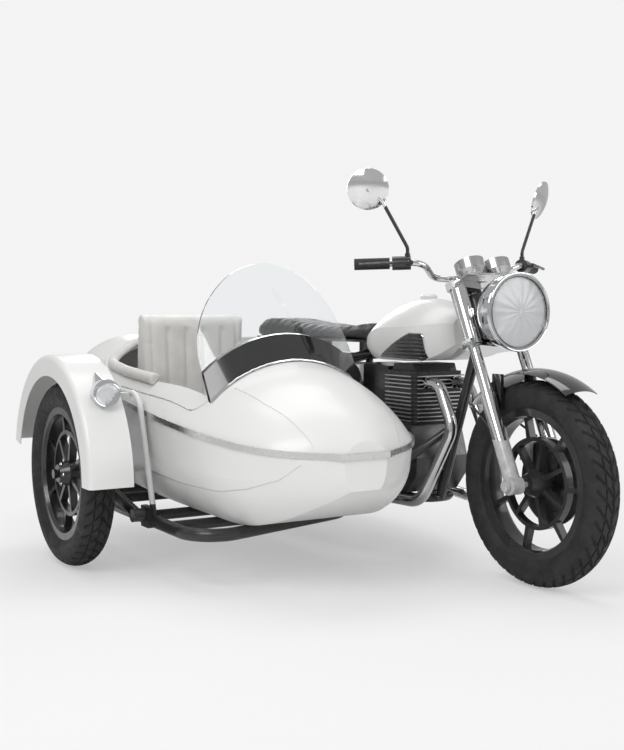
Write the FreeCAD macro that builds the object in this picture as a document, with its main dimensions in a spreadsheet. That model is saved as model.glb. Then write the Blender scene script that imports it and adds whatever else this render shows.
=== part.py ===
"""Sidecar motorcycle: a parallel-twin roadster with a boat-shaped sidecar on its right.

Millimetres, +X forward, +Y left, +Z up. The origin is on the ground, at the centre of the
outfit's footprint. Rig coordinates start at the rear axle, on the motorcycle's centre plane:
at(x, y, z) turns them into the outfit's frame.
"""
import FreeCAD, Part
import math
import os
import Sketcher

V = FreeCAD.Vector
doc = FreeCAD.newDocument("sidecar_outfit")
sheet = doc.addObject("Spreadsheet::Sheet", "Dimensions")

# alias, millimetres or degrees, what it is
DIMENSIONS = [
    # the outfit
    ("wheelbase", 1490, "rear axle to front axle"),
    ("track_width", 1180, "motorcycle plane to sidecar wheel plane"),
    ("wheel_lead", 433, "sidecar axle ahead of the rear axle"),
    ("tail_reach", 560, "sidecar tail behind the rear axle"),
    ("fit_gap", 0.3, "gap between pieces that seat on each other"),
    # wheels
    ("front_tyre_rad", 330, "front tyre outer radius"),
    ("front_tyre_width", 108, "front tyre section width"),
    ("front_rim_rad", 241, "front rim seat radius"),
    ("rear_tyre_rad", 320, "rear tyre outer radius"),
    ("rear_tyre_width", 120, "rear tyre section width"),
    ("rear_rim_rad", 222, "rear rim seat radius"),
    ("side_tyre_rad", 320, "sidecar tyre outer radius"),
    ("side_tyre_width", 112, "sidecar tyre section width"),
    ("side_rim_rad", 229, "sidecar rim seat radius"),
    ("rim_depth", 24, "rim barrel thickness"),
    ("hub_rad", 44, "hub radius"),
    ("hub_length", 96, "hub length"),
    ("axle_rad", 9, "wheel axle radius"),
    ("spoke_width", 13, "cast spoke width"),
    ("spoke_depth", 26, "cast spoke depth along the axle"),
    ("spoke_count", 7, "cast spokes in each ring"),
    ("web_ring_rad", 142, "cast web ring mean radius"),
    ("disc_rad", 140, "front brake disc radius"),
    ("disc_thick", 5, "front brake disc thickness"),
    ("disc_side", 56, "front brake disc from the wheel plane"),
    ("disc_gap", 5, "front brake disc to calliper clearance"),
    # steering
    ("rake", 25, "steering axis from the vertical, degrees"),
    ("fork_offset", 50, "fork legs ahead of the steering axis"),
    ("fork_half", 100, "fork leg from the centre plane"),
    ("fork_tube_rad", 19, "fork inner tube radius"),
    ("fork_slider_rad", 26, "fork slider radius"),
    ("fork_shroud_rad", 28, "fork upper cover radius"),
    ("head_low", 775, "steering head lower face height"),
    ("head_high", 925, "steering head upper face height"),
    ("head_rad", 33, "steering head outer radius"),
    ("stem_rad", 24, "steering stem radius"),
    ("stem_fit", 0.05, "running clearance of the stem, the pivots and the axles"),
    ("yoke_thick", 26, "fork yoke thickness"),
    ("bar_rad", 11, "handlebar radius"),
    ("bar_height", 985, "handlebar clamp height"),
    ("bar_half", 392, "handlebar end from the centre plane"),
    ("grip_rad", 19, "grip radius"),
    ("grip_length", 118, "grip length"),
    ("mirror_rad", 69, "mirror head radius"),
    ("mirror_height", 1281, "mirror head centre height"),
    ("mirror_half", 372, "mirror head centre from the centre plane"),
    ("lamp_rad", 127, "headlamp rim radius"),
    ("lamp_height", 876, "headlamp centre height"),
    ("lamp_face", 1396, "headlamp rim face from the rear axle"),
    ("lamp_depth", 118, "headlamp shell depth"),
    ("gauge_rad", 50, "instrument cup radius"),
    # frame
    ("frame_rad", 15, "cradle tube radius"),
    ("spine_rad", 20, "frame spine radius"),
    ("cradle_half", 75, "cradle rail from the centre plane"),
    ("cradle_height", 212, "cradle rail height"),
    ("cradle_front", 978, "cradle front cross tube from the rear axle"),
    ("down_rad", 18, "front down tube radius"),
    ("pivot_x", 415, "swinging arm pivot from the rear axle"),
    ("pivot_height", 335, "swinging arm pivot height"),
    ("arm_half", 79, "swinging arm side from the centre plane"),
    ("arm_width", 22, "swinging arm side width"),
    ("arm_height", 42, "swinging arm side height"),
    ("shock_half", 112, "shock absorber from the centre plane"),
    ("shock_rad", 23, "shock absorber spring radius"),
    ("shaft_rad", 19, "drive shaft housing radius"),
    ("shaft_side", 112, "drive shaft housing from the centre plane"),
    ("drive_rad", 62, "final drive housing radius"),
    ("rail_height", 698, "seat rail height"),
    ("rail_rad", 12, "seat rail radius"),
    # engine
    ("case_length", 520, "crankcase length"),
    ("case_half", 112, "crankcase half width"),
    ("case_low", 232, "crankcase underside height"),
    ("case_high", 480, "crankcase top height"),
    ("case_rear", 470, "crankcase rear face from the rear axle"),
    ("cover_depth", 42, "engine side cover depth"),
    ("cyl_length", 176, "cylinder block length"),
    ("cyl_half", 108, "cylinder block half width"),
    ("cyl_front", 968, "cylinder block front face from the rear axle"),
    ("cyl_high", 596, "cylinder block top height"),
    ("head_top", 694, "cylinder head top height"),
    ("fin_reach", 12, "cooling fin depth"),
    ("fin_thick", 3.5, "cooling fin thickness"),
    ("fin_pitch", 14, "cooling fin spacing"),
    ("header_rad", 21, "exhaust header radius"),
    ("port_half", 62, "exhaust port from the centre plane"),
    ("silencer_rad", 42, "silencer radius"),
    ("silencer_half", 192, "silencer from the centre plane"),
    # tank and seat
    ("tank_low", 702, "tank underside height"),
    ("cap_rad", 30, "fuel cap radius"),
    ("mudguard_thick", 3, "mudguard wall"),
    ("front_guard_rad", 350, "front mudguard inner radius"),
    ("front_guard_half", 64, "front mudguard half width"),
    ("front_guard_tip", 57, "front mudguard tip above the horizontal, degrees"),
    ("rear_guard_rad", 346, "rear mudguard inner radius"),
    ("rear_guard_half", 76, "rear mudguard half width"),
    # sidecar body
    ("body_side", 622, "sidecar body centre plane from the motorcycle plane"),
    ("belt_height", 578, "belt line height at the sidecar's belt datum"),
    ("belt_datum", 260, "belt datum from the rear axle"),
    ("belt_slope", 0.105, "belt line fall per millimetre forward"),
    ("belt_band", 18, "belt moulding height"),
    ("belt_proud", 7, "belt moulding stand-out"),
    ("belt_seat", 1.2, "clearance of the belt moulding round the body"),
    ("hull_wall", 14, "sidecar tub wall"),
    ("deck_wall", 10, "sidecar deck wall"),
    ("cockpit_half", 286, "cockpit opening half width"),
    ("cockpit_rear", 30, "cockpit opening rear edge from the rear axle"),
    ("cockpit_side_front", 948, "cockpit opening front corner from the rear axle"),
    ("cockpit_front", 978, "cockpit opening front edge from the rear axle"),
    ("roll_rad", 22, "padded coaming radius"),
    ("screen_rad", 540, "windscreen bend radius"),
    ("screen_half", 290, "windscreen half width"),
    ("screen_shoulder", 700, "height where the windscreen starts to round in"),
    ("screen_thick", 5, "windscreen thickness"),
    ("screen_lean", 30.5, "windscreen lean from the vertical, degrees"),
    ("screen_top", 1040, "windscreen top height"),
    ("screen_foot_x", 1010, "windscreen foot on the deck's centre line from the rear axle"),
    ("screen_foot_z", 720, "windscreen foot height on the deck's centre line"),
    ("trim_rise", 80, "windscreen base trim height above the deck"),
    ("trim_thick", 12, "windscreen base trim thickness"),
    ("seat_half", 220, "sidecar seat back half width"),
    ("crease_depth", 2.5, "depth of the pressed creases"),
    ("crease_width", 4, "width of the pressed creases"),
    # sidecar chassis
    ("rail_outer", 1000, "outer chassis rail from the motorcycle plane"),
    ("rail_inner", 340, "inner chassis rail from the motorcycle plane"),
    ("rail_front", 1105, "outer end of the front chassis rail from the rear axle"),
    ("rail_front_inner", 900, "inner end of the front chassis rail from the rear axle"),
    ("rail_rear", 40, "rear chassis rail from the rear axle"),
    ("chassis_rad", 21, "chassis tube radius"),
    ("chassis_height", 183, "chassis tube centre height"),
    ("strut_rad", 14, "sidecar strut radius"),
    ("side_guard_rad", 410, "sidecar mudguard outer radius"),
    ("side_guard_outer", 80, "sidecar mudguard outer face from the wheel plane"),
    ("side_guard_inner", 68, "sidecar mudguard inner edge from the wheel plane"),
    ("side_guard_skirt", 72, "sidecar mudguard outer skirt depth"),
    ("marker_rad", 44, "mudguard lamp radius"),
]
for row, (alias, value, note) in enumerate(DIMENSIONS, 1):
    sheet.set(f"A{row}", note)
    sheet.set(f"B{row}", str(value))
    sheet.setAlias(f"B{row}", alias)
doc.recompute()


class Size:
    """A number with the spreadsheet expression that gives it, so that one formula does both."""

    def __init__(self, value, text):
        self.value = float(value)
        self.text = text

    def _with(self, other, sign, turned=False):
        other = other if isinstance(other, Size) else Size(other, repr(other))
        left, right = (other, self) if turned else (self, other)
        result = {
            "+": lambda a, b: a + b,
            "-": lambda a, b: a - b,
            "*": lambda a, b: a * b,
            "/": lambda a, b: a / b,
        }[sign](left.value, right.value)
        return Size(result, f"({left.text} {sign} {right.text})")

    def __add__(self, other):
        return self._with(other, "+")

    def __radd__(self, other):
        return self._with(other, "+", True)

    def __sub__(self, other):
        return self._with(other, "-")

    def __rsub__(self, other):
        return self._with(other, "-", True)

    def __mul__(self, other):
        return self._with(other, "*")

    def __rmul__(self, other):
        return self._with(other, "*", True)

    def __truediv__(self, other):
        return self._with(other, "/")

    def __neg__(self):
        return self * -1

    def __float__(self):
        return self.value


class Sheet:
    """Gives each spreadsheet cell as a Size: dim.wheelbase, and so on."""

    def __getattr__(self, alias):
        return Size(sheet.get(alias), f"Dimensions.{alias}")


dim = Sheet()


def number(value):
    return float(value)


def cosine(angle):
    return Size(math.cos(math.radians(number(angle))), f"cos({angle.text} * 1deg)")


def sine(angle):
    return Size(math.sin(math.radians(number(angle))), f"sin({angle.text} * 1deg)")


# Rig coordinates are shifted so that the footprint's centre is the origin.
mirror_edge = dim.mirror_half + dim.mirror_rad * 0.915
rear_axle_x = (dim.tail_reach - dim.wheelbase - dim.front_tyre_rad) / 2
bike_y = (dim.track_width + dim.side_guard_outer - mirror_edge) / 2


def at(x, y, z):
    """Rig coordinates as a point of the outfit's frame, each one a Size or a number."""
    return (rear_axle_x + x, bike_y + y, z)


def point(x, y, z):
    """Rig coordinates as a plain vector of the outfit's frame."""
    return V(*(number(c) for c in at(x, y, z)))


def bind(thing, name, value):
    """Sets a property, and ties it to the sheet when it is a Size."""
    target = thing
    *path, last = name.split(".")
    for step in path:
        target = getattr(target, step)
    if not path:
        setattr(thing, last, number(value))
    if isinstance(value, Size):
        thing.setExpression(name, value.text)


def place(thing, where, rotation=FreeCAD.Rotation()):
    """Puts a thing at a frame point, with the point's Sizes tied to the sheet."""
    thing.Placement = FreeCAD.Placement(V(*(number(c) for c in where)), rotation)
    for axis, value in zip("xyz", where):
        if isinstance(value, Size):
            thing.setExpression(f"Placement.Base.{axis}", value.text)
    return thing


def turn(direction):
    """The rotation that takes +Z to a direction."""
    return FreeCAD.Rotation(V(0, 0, 1), V(*direction))


# Part primitives and booleans -----------------------------------------------------------


def box(name, length, width, height, where, rotation=FreeCAD.Rotation()):
    thing = doc.addObject("Part::Box", name)
    bind(thing, "Length", length)
    bind(thing, "Width", width)
    bind(thing, "Height", height)
    return place(thing, where, rotation)


def cylinder(name, radius, height, where, direction=(0, 0, 1)):
    thing = doc.addObject("Part::Cylinder", name)
    bind(thing, "Radius", radius)
    bind(thing, "Height", height)
    return place(thing, where, turn(direction))


def cone(name, foot, top, height, where, direction=(0, 0, 1)):
    thing = doc.addObject("Part::Cone", name)
    bind(thing, "Radius1", foot)
    bind(thing, "Radius2", top)
    bind(thing, "Height", height)
    return place(thing, where, turn(direction))


def fuse(name, pieces):
    thing = doc.addObject("Part::MultiFuse", name)
    thing.Shapes = pieces
    thing.Refine = False
    return thing


def cut(name, base, tools):
    tool = tools[0] if len(tools) == 1 else fuse(name + "_tools", tools)
    thing = doc.addObject("Part::Cut", name)
    thing.Base = base
    thing.Tool = tool
    return thing


def common(name, pieces):
    thing = doc.addObject("Part::MultiCommon", name)
    thing.Shapes = pieces
    return thing


def group(name, pieces):
    """Several solids of one node that don't touch."""
    thing = doc.addObject("Part::Compound", name)
    thing.Links = pieces
    return thing


def shape(name, made):
    """A form that no parametric feature here makes, from Part's own functions."""
    thing = doc.addObject("Part::Feature", name)
    thing.Shape = made
    return thing


# PartDesign bodies ---------------------------------------------------------------------


def plane(body, role):
    return next(f for f in body.Origin.OriginFeatures if f.Role == role)


def outline(body, name, role, corners, offset=None):
    """A closed sketch. Each corner is (x, y), or (x, y, via_x, via_y) when an arc leads to it.

    Every corner and every arc's middle point is dimensioned from the sketch's origin.
    """
    sketch = body.newObject("Sketcher::SketchObject", name)
    sketch.AttachmentSupport = [(plane(body, role), "")]
    sketch.MapMode = "FlatFace"
    if offset is not None:
        bind(sketch, "AttachmentOffset.Base.z", offset)
        sketch.AttachmentOffset = FreeCAD.Placement(V(0, 0, number(offset)), FreeCAD.Rotation())
        if isinstance(offset, Size):
            sketch.setExpression("AttachmentOffset.Base.z", offset.text)

    def pin(geometry, vertex, across, up):
        for kind, value in (("DistanceX", across), ("DistanceY", up)):
            index = sketch.addConstraint(
                Sketcher.Constraint(kind, geometry, vertex, number(value))
            )
            if isinstance(value, Size):
                sketch.setExpression(f"Constraints[{index}]", value.text)

    previous = corners[-1]
    for corner in corners:
        start = V(number(previous[0]), number(previous[1]), 0)
        end = V(number(corner[0]), number(corner[1]), 0)
        if len(corner) == 2:
            edge = sketch.addGeometry(Part.LineSegment(start, end), False)
            pin(edge, 2, corner[0], corner[1])
            pin(edge, 1, previous[0], previous[1])
        else:
            via = V(number(corner[2]), number(corner[3]), 0)
            anticlockwise = (via - start).cross(end - via).z > 0
            first, last = (start, end) if anticlockwise else (end, start)
            edge = sketch.addGeometry(Part.Arc(first, via, last), False)
            ends = (previous, corner) if anticlockwise else (corner, previous)
            pin(edge, 1, ends[0][0], ends[0][1])
            pin(edge, 2, ends[1][0], ends[1][1])
            middle = sketch.addGeometry(Part.Point(via), True)
            pin(middle, 1, corner[2], corner[3])
            sketch.addConstraint(Sketcher.Constraint("PointOnObject", middle, 1, edge))
        previous = corner
    return sketch


def new_body(name):
    return doc.addObject("PartDesign::Body", name)


def pad(body, name, role, corners, length, both=False, offset=None):
    sketch = outline(body, name + "_outline", role, corners, offset)
    feature = body.newObject("PartDesign::Pad", name)
    feature.Profile = sketch
    bind(feature, "Length", length)
    feature.Midplane = both
    return feature


def revolve(body, name, role, corners, axis="V_Axis", angle=None):
    sketch = outline(body, name + "_outline", role, corners)
    feature = body.newObject("PartDesign::Revolution", name)
    feature.Profile = sketch
    feature.ReferenceAxis = (sketch, [axis])
    if angle is not None:
        bind(feature, "Angle", angle)
    return feature


def dome(radius, low, high):
    """The corner that closes a turned outline with a spherical cap reaching `high` on the axis."""
    radius, low, high = number(radius), number(low), number(high)
    drop = high - low
    ball = (radius * radius + drop * drop) / (2 * drop)
    half = radius / 2
    return (0, high, half, high - ball + math.copysign(math.sqrt(ball * ball - half * half), ball))


def spun(name, corners, where, rotation=FreeCAD.Rotation()):
    """A body revolved about its own Z axis from corners given as (radius, height)."""
    body = new_body(name)
    revolve(body, name + "_turned", "XZ_Plane", corners)
    return place(body, where, rotation)


# Tubes ---------------------------------------------------------------------------------


def bent_path(points, bend, closed=False):
    """A wire of straight runs joined by tangent arcs through the given frame points."""
    count = len(points)
    edges = []
    corners = []
    for i, here in enumerate(points):
        if not closed and i in (0, count - 1):
            corners.append((here, None, here))
            continue
        before, after = points[i - 1], points[(i + 1) % count]
        back, ahead = (before - here), (after - here)
        half_turn = (math.pi - back.getAngle(ahead)) / 2
        reach = min(number(bend) * math.tan(half_turn), 0.45 * min(back.Length, ahead.Length))
        radius = reach / math.tan(half_turn)
        back.normalize()
        ahead.normalize()
        middle = (back + ahead).normalize()
        centre_distance = radius / math.cos(half_turn)
        apex = here + middle * (centre_distance - radius)
        corners.append((here + back * reach, apex, here + ahead * reach))
    for i, (start, apex, end) in enumerate(corners):
        if apex is not None:
            edges.append(Part.Arc(start, apex, end).toShape())
        if i + 1 < count or closed:
            following = corners[(i + 1) % count][0]
            if (following - end).Length > 1e-6:
                edges.append(Part.LineSegment(end, following).toShape())
    return Part.Wire(edges)


def tube(name, points, radius, bend=60, closed=False):
    """A round bar along a bent path, as a Part sweep of a circle whose radius is tied to the sheet."""
    path = shape(name + "_path", bent_path(points, bend, closed))
    first = path.Shape.OrderedEdges[0]
    start = first.valueAt(first.FirstParameter)
    ahead = first.tangentAt(first.FirstParameter)
    circle = doc.addObject("Part::Circle", name + "_section")
    bind(circle, "Radius", radius)
    circle.Placement = FreeCAD.Placement(start, turn(ahead))
    sweep = doc.addObject("Part::Sweep", name)
    sweep.Sections = [circle]
    sweep.Spine = (path, [f"Edge{i + 1}" for i in range(len(path.Shape.Edges))])
    sweep.Solid = True
    sweep.Frenet = False
    return sweep


# Wheels --------------------------------------------------------------------------------
# The wheel bodies are drawn about their own Z axis, then turned so that Z lies along the axle.
AXLE_TURN = FreeCAD.Rotation(V(1, 0, 0), -90)

WHEELS = [
    # name, tyre radius, tyre width, rim radius, axle x, axle y
    ("front", dim.front_tyre_rad, dim.front_tyre_width, dim.front_rim_rad, dim.wheelbase, Size(0, "0")),
    ("rear", dim.rear_tyre_rad, dim.rear_tyre_width, dim.rear_rim_rad, Size(0, "0"), Size(0, "0")),
    ("sidecar", dim.side_tyre_rad, dim.side_tyre_width, dim.side_rim_rad, dim.wheel_lead, -dim.track_width),
]
nodes = {}


def tyre(name, outer, width, seat, where):
    bead = width * 0.34
    shoulder = width * 0.40
    crown_drop = width * 0.16
    belly = seat + (outer - seat) * 0.45
    body = spun(
        name,
        [
            (seat, -bead),
            (outer - crown_drop, -shoulder, belly, -width / 2),
            (outer - crown_drop, shoulder, outer, Size(0, "0")),
            (seat, bead, belly, width / 2),
        ],
        where,
        AXLE_TURN,
    )
    return body


def cast_wheel(name, width, seat, where):
    """Rim barrel, two rings of cast spokes, a web ring between them and a hub."""
    body = new_body(name)
    bead = width * 0.34
    well = seat - dim.rim_depth
    revolve(
        body,
        name + "_barrel",
        "XZ_Plane",
        [
            (seat, -bead),
            (seat, bead),
            (well, bead),
            (well - 6, bead - 12),
            (well - 6, 12 - bead),
            (well, -bead),
        ],
    )
    half_depth = dim.spoke_depth / 2
    ring_half = dim.spoke_width / 2
    revolve(
        body,
        name + "_hub",
        "XZ_Plane",
        [
            (dim.axle_rad, -dim.hub_length / 2),
            (dim.hub_rad - 14, -dim.hub_length / 2),
            (dim.hub_rad, -half_depth - 4),
            (dim.hub_rad, half_depth + 4),
            (dim.hub_rad - 14, dim.hub_length / 2),
            (dim.axle_rad, dim.hub_length / 2),
        ],
    )
    half = dim.spoke_width / 2
    ring_in = dim.web_ring_rad - ring_half
    ring_out = dim.web_ring_rad + ring_half
    # one outer stem and one inner arm, half a pitch apart
    pitch = 360 / number(dim.spoke_count)
    arm_turn = math.radians(pitch / 2)
    spoke = pad(
        body,
        name + "_stem",
        "XY_Plane",
        [
            (ring_in, -half * 1.5),
            (well - 3, -half),
            (well - 3, half),
            (ring_in, half * 1.5),
        ],
        dim.spoke_depth,
        both=True,
    )
    doc.recompute()
    near, far = dim.hub_rad - 2, dim.web_ring_rad
    cos_turn, sin_turn = math.cos(arm_turn), math.sin(arm_turn)
    arm = pad(
        body,
        name + "_arm",
        "XY_Plane",
        [
            (near * cos_turn + half * 1.3 * sin_turn, near * sin_turn - half * 1.3 * cos_turn),
            (far * cos_turn + half * sin_turn, far * sin_turn - half * cos_turn),
            (far * cos_turn - half * sin_turn, far * sin_turn + half * cos_turn),
            (near * cos_turn - half * 1.3 * sin_turn, near * sin_turn + half * 1.3 * cos_turn),
        ],
        dim.spoke_depth,
        both=True,
    )
    pattern = body.newObject("PartDesign::PolarPattern", name + "_spokes")
    pattern.Originals = [spoke, arm]
    pattern.Axis = (plane(body, "Z_Axis"), [""])
    pattern.Angle = 360
    pattern.Occurrences = int(number(dim.spoke_count))
    pattern.setExpression("Occurrences", dim.spoke_count.text)
    body.Tip = pattern
    revolve(
        body,
        name + "_ring",
        "XZ_Plane",
        [
            (ring_in, -half_depth),
            (ring_out, -half_depth),
            (ring_out, half_depth),
            (ring_in, half_depth),
        ],
    )
    return place(body, where, AXLE_TURN)


for name, outer, width, seat, axle_x, axle_y in WHEELS:
    where = at(axle_x, axle_y, outer)
    nodes[name + "_tyre"] = tyre(name + "_tyre", outer, width, seat, where)
    nodes[name + "_wheel"] = cast_wheel(name + "_wheel", width, seat, where)

# front brake disc on its dished carrier, on the left of the hub
disc_in, disc_out = dim.disc_side, dim.disc_side + dim.disc_thick
disc = spun(
    "brake_disc",
    [
        (Size(14, "14"), dim.hub_length / 2 - 2),
        (dim.hub_rad + 16, dim.hub_length / 2 + 2),
        (dim.disc_rad - 44, disc_in),
        (dim.disc_rad, disc_in),
        (dim.disc_rad, disc_out),
        (dim.disc_rad - 46, disc_out),
        (dim.hub_rad + 16, disc_out - 3),
        (Size(14, "14"), disc_out - 5),
    ],
    at(dim.wheelbase, 0, dim.front_tyre_rad),
    AXLE_TURN,
)
nodes["front_wheel"] = fuse("front_wheel_whole", [nodes["front_wheel"], disc])


# Fork and steering ---------------------------------------------------------------------
lean = -math.radians(number(dim.rake))
AXIS_UP = V(math.sin(lean), 0, math.cos(lean))
rake_sin, rake_cos = sine(dim.rake), cosine(dim.rake)
rake_tan = rake_sin / rake_cos
# the steering axis crosses the axle's height this far behind the axle
axis_foot = dim.wheelbase - dim.fork_offset / rake_cos


def axis_x(z):
    """x of the steering axis at a height."""
    return axis_foot - (z - dim.front_tyre_rad) * rake_tan


def leg_x(z):
    """x of the fork legs' centre line at a height."""
    return dim.wheelbase - (z - dim.front_tyre_rad) * rake_tan


def leg(name, radius, low, high, side):
    return cylinder(
        name,
        radius,
        (high - low) / rake_cos,
        at(leg_x(low), side * dim.fork_half, low),
        (AXIS_UP.x, 0, AXIS_UP.z),
    )


slider_low, slider_high = dim.front_tyre_rad + 2, 608
lower_z, upper_z = dim.head_low - 5, dim.head_high + 15


def yoke(name, z, rear):
    """A yoke plate square to the steering axis, around both legs and the stem."""
    base = at(leg_x(z), 0, z)
    rotation = FreeCAD.Rotation(V(0, 1, 0), -number(dim.rake))
    body = new_body(name)
    reach = dim.fork_half
    pad(
        body,
        name + "_plate",
        "XY_Plane",
        rear[:-1] + [
            (-18, -reach - 34),
            (26, -reach - 30),
            (22, -reach + 14),
            (4, 0),
            (22, reach - 14),
            (26, reach + 30),
            (-18, reach + 34),
            rear[-1],
        ],
        dim.yoke_thick,
        both=True,
    )
    return place(body, base, rotation)


# the lower yoke is round behind the stem, so that it clears the frame at full lock
boss = dim.head_rad + 1
round_rear = [(-dim.fork_offset, -boss, -dim.fork_offset - boss, 0), (-dim.fork_offset, boss)]
square_rear = [(-dim.fork_offset - 30, -20), (-dim.fork_offset - 30, 20)]
fork_parts = [yoke("lower_yoke", lower_z, round_rear), yoke("upper_yoke", upper_z + 22, square_rear)]
for side, tag in ((1, "left"), (-1, "right")):
    fork_parts += [
        leg(f"{tag}_slider", dim.fork_slider_rad, slider_low, slider_high, side),
        leg(f"{tag}_stanchion", dim.fork_tube_rad, slider_high - 20, upper_z + 20, side),
        leg(f"{tag}_shroud", dim.fork_shroud_rad, lower_z - 4, upper_z + 14, side),
        cylinder(
            f"{tag}_axle_boss",
            dim.fork_slider_rad + 3,
            dim.fork_slider_rad * 2 - 6,
            at(dim.wheelbase, side * dim.fork_half - dim.fork_slider_rad + 3, dim.front_tyre_rad),
            (0, 1, 0),
        ),
    ]
fork_parts.append(
    cylinder(
        "steering_stem",
        dim.stem_rad,
        (upper_z - lower_z + 26) / rake_cos,
        at(axis_x(lower_z - 25), 0, lower_z - 25),
        (AXIS_UP.x, 0, AXIS_UP.z),
    )
)
# handlebar risers on the upper yoke
bar_x = axis_x(dim.bar_height) + 4
for side, tag in ((1, "left"), (-1, "right")):
    fork_parts.append(
        box(
            f"{tag}_riser",
            34,
            30,
            dim.bar_height - upper_z + 6,
            at(bar_x - 17, side * 48 - 15, upper_z + 6),
        )
    )
fork_solid = fuse("fork_solid", fork_parts)
bar_hole = cylinder(
    "bar_hole",
    dim.bar_rad + dim.fit_gap,
    200,
    at(bar_x, -100, dim.bar_height),
    (0, 1, 0),
)
nodes["fork"] = cut("fork_cut", fork_solid, [bar_hole])


def axle(name, x, y, z, low, high, head=12):
    """A plain axle with a nut on each end."""
    rod = cylinder(name + "_rod", dim.axle_rad - dim.stem_fit, high - low, at(x, y + low, z), (0, 1, 0))
    ends = [
        cylinder(name + "_head", dim.axle_rad + 7, Size(head, repr(head)),
                 at(x, y + low - head + 0.2, z), (0, 1, 0)),
        cylinder(name + "_nut", dim.axle_rad + 7, Size(head, repr(head)), at(x, y + high - 0.2, z), (0, 1, 0)),
    ]
    return fuse(name, [rod] + ends)


leg_outer = dim.fork_half + dim.fork_slider_rad
fork_axle = axle("front_axle", dim.wheelbase, 0, dim.front_tyre_rad, -leg_outer - 2, leg_outer + 2)
fork_parts.append(fork_axle)
# brake calliper behind the left leg, slotted around the disc
calliper = cut(
    "calliper",
    box("calliper_body", 50, 52, 64, at(dim.wheelbase - 130, 38, dim.front_tyre_rad + 58)),
    [cylinder("disc_space", dim.disc_rad + dim.disc_gap, dim.disc_thick + dim.disc_gap * 2,
              at(dim.wheelbase, dim.disc_side - dim.disc_gap, dim.front_tyre_rad), (0, 1, 0))],
)
fork_parts += [calliper, box("calliper_arm", 74, 20, 40, at(dim.wheelbase - 90, 70, dim.front_tyre_rad + 62))]

# Handlebar: a bent tube
ends = [
    V(1019, dim.bar_half, 1034), V(1150, 205, 1040), V(1100, 128, 990),
]
bar_route = [point(x, number(y), z) for x, y, z in ends] + [
    point(number(bar_x), 78, number(dim.bar_height)), point(number(bar_x), -78, number(dim.bar_height)),
] + [point(x, -number(y), z) for x, y, z in reversed(ends)]
bar_outer = tube("bar_outer", bar_route, dim.bar_rad, 60)
nodes["handlebar"] = bar_outer
side_names = ((1, "left"), (-1, "right"))
grip_line = (ends[0] - ends[1]).normalize()
bar_bend = ends[1]


def on_bar(distance, side, lift=0):
    """A point along the straight end of the handlebar."""
    here = bar_bend + grip_line * distance
    return point(here.x, side * here.y, here.z + lift)


def bar_sleeve(name, near, far, radius, side):
    aim = V(grip_line.x, side * grip_line.y, grip_line.z)
    start = on_bar(near, side)
    return [
        cylinder(name, radius, far - near, start, aim),
        cylinder(name + "_bore", dim.bar_rad + dim.fit_gap, far - near + 2, start - aim, aim),
    ]


grip_parts, control_parts, mirror_parts = [], [], []
for side, tag in side_names:
    sleeve, bore = bar_sleeve(tag + "_grip", 112, 112 + number(dim.grip_length), dim.grip_rad, side)
    grip_parts.append(cut(tag + "_grip_cut", sleeve, [bore]))
    house, bore = bar_sleeve(tag + "_switch", 42, 104, 23, side)
    perch = cylinder(tag + "_perch", 9, 42, on_bar(60, side) + V(4, 0, 0), (1, side * 0.25, 0))
    lever = tube(
        tag + "_lever",
        [on_bar(58, side) + V(44, side * 8, 0), on_bar(110, side) + V(48, side * 14, 0),
         on_bar(215, side) + V(34, side * 22, -2)],
        5, 60,
    )
    boss = cylinder(tag + "_mirror_boss", 9, 32, on_bar(53, side), (0, 0, 1))
    whole = fuse(tag + "_control", [house, perch, lever, boss])
    control_parts.append(cut(tag + "_control_cut", whole, [bore]))
    foot = on_bar(53, side) + V(0, 0, 32.3)
    head = point(1067, side * number(dim.mirror_half), number(dim.mirror_height))
    back = V(0.86, side * 0.51, -0.3).normalize()
    inward = V(0, side * -0.86, -0.51)
    inward = (inward - back * inward.dot(back)).normalize()
    stalk = tube(tag + "_stalk", [foot, foot + V(0, 0, 18), head + inward * 62 + back * 14,
                                  head + inward * 28 + back * 12], 6, 30)
    disc = spun(tag + "_mirror_head",
                [(0, 0), (dim.mirror_rad, 0), (dim.mirror_rad, 6), dome(dim.mirror_rad, 6, 24)],
                (head.x, head.y, head.z), turn(back))
    mirror_parts.append(fuse(tag + "_mirror", [stalk, disc]))
nodes["grips"] = group("grips_group", grip_parts)
nodes["hand_controls"] = group("controls_group", control_parts)
nodes["mirrors"] = group("mirrors_group", mirror_parts)

# headlamp: a bowl open to the front, with a separate lens
ALONG = turn((1, 0, 0))
lamp_at = at(dim.lamp_face - dim.lamp_depth, 0, dim.lamp_height)
lamp_rad, lamp_deep = dim.lamp_rad, dim.lamp_depth
nodes["headlamp"] = spun(
    "headlamp_bowl",
    [(0, 0), (58, 0), (lamp_rad - 6, lamp_deep - 34, lamp_rad * 0.85, lamp_deep * 0.27),
     (lamp_rad, lamp_deep - 30), (lamp_rad + 2, lamp_deep - 8), (lamp_rad - 3, lamp_deep),
     (lamp_rad - 10, lamp_deep), (lamp_rad - 10, lamp_deep - 36),
     (54, 4, lamp_rad * 0.85 - 5.5, lamp_deep * 0.27 + 4), (0, 4)],
    lamp_at, ALONG)
nodes["headlamp_lens"] = spun(
    "lens",
    [(0, lamp_deep - 12), (lamp_rad - 10.3, lamp_deep - 12), (lamp_rad - 10.3, lamp_deep - 6),
     dome(lamp_rad - 10.3, lamp_deep - 6, lamp_deep + 10)],
    lamp_at, ALONG)
# the headlamp's bracket starts clear of the head tube
bar_back = 43 - dim.head_rad
lamp_bar = box("lamp_bracket", dim.lamp_face - dim.lamp_depth - leg_x(dim.lamp_height) + bar_back, 190, 24,
               at(leg_x(dim.lamp_height) - bar_back - 0.3, -95, dim.lamp_height - 12))
fork_parts.append(lamp_bar)
fork_solid.Shapes = fork_parts

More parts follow.
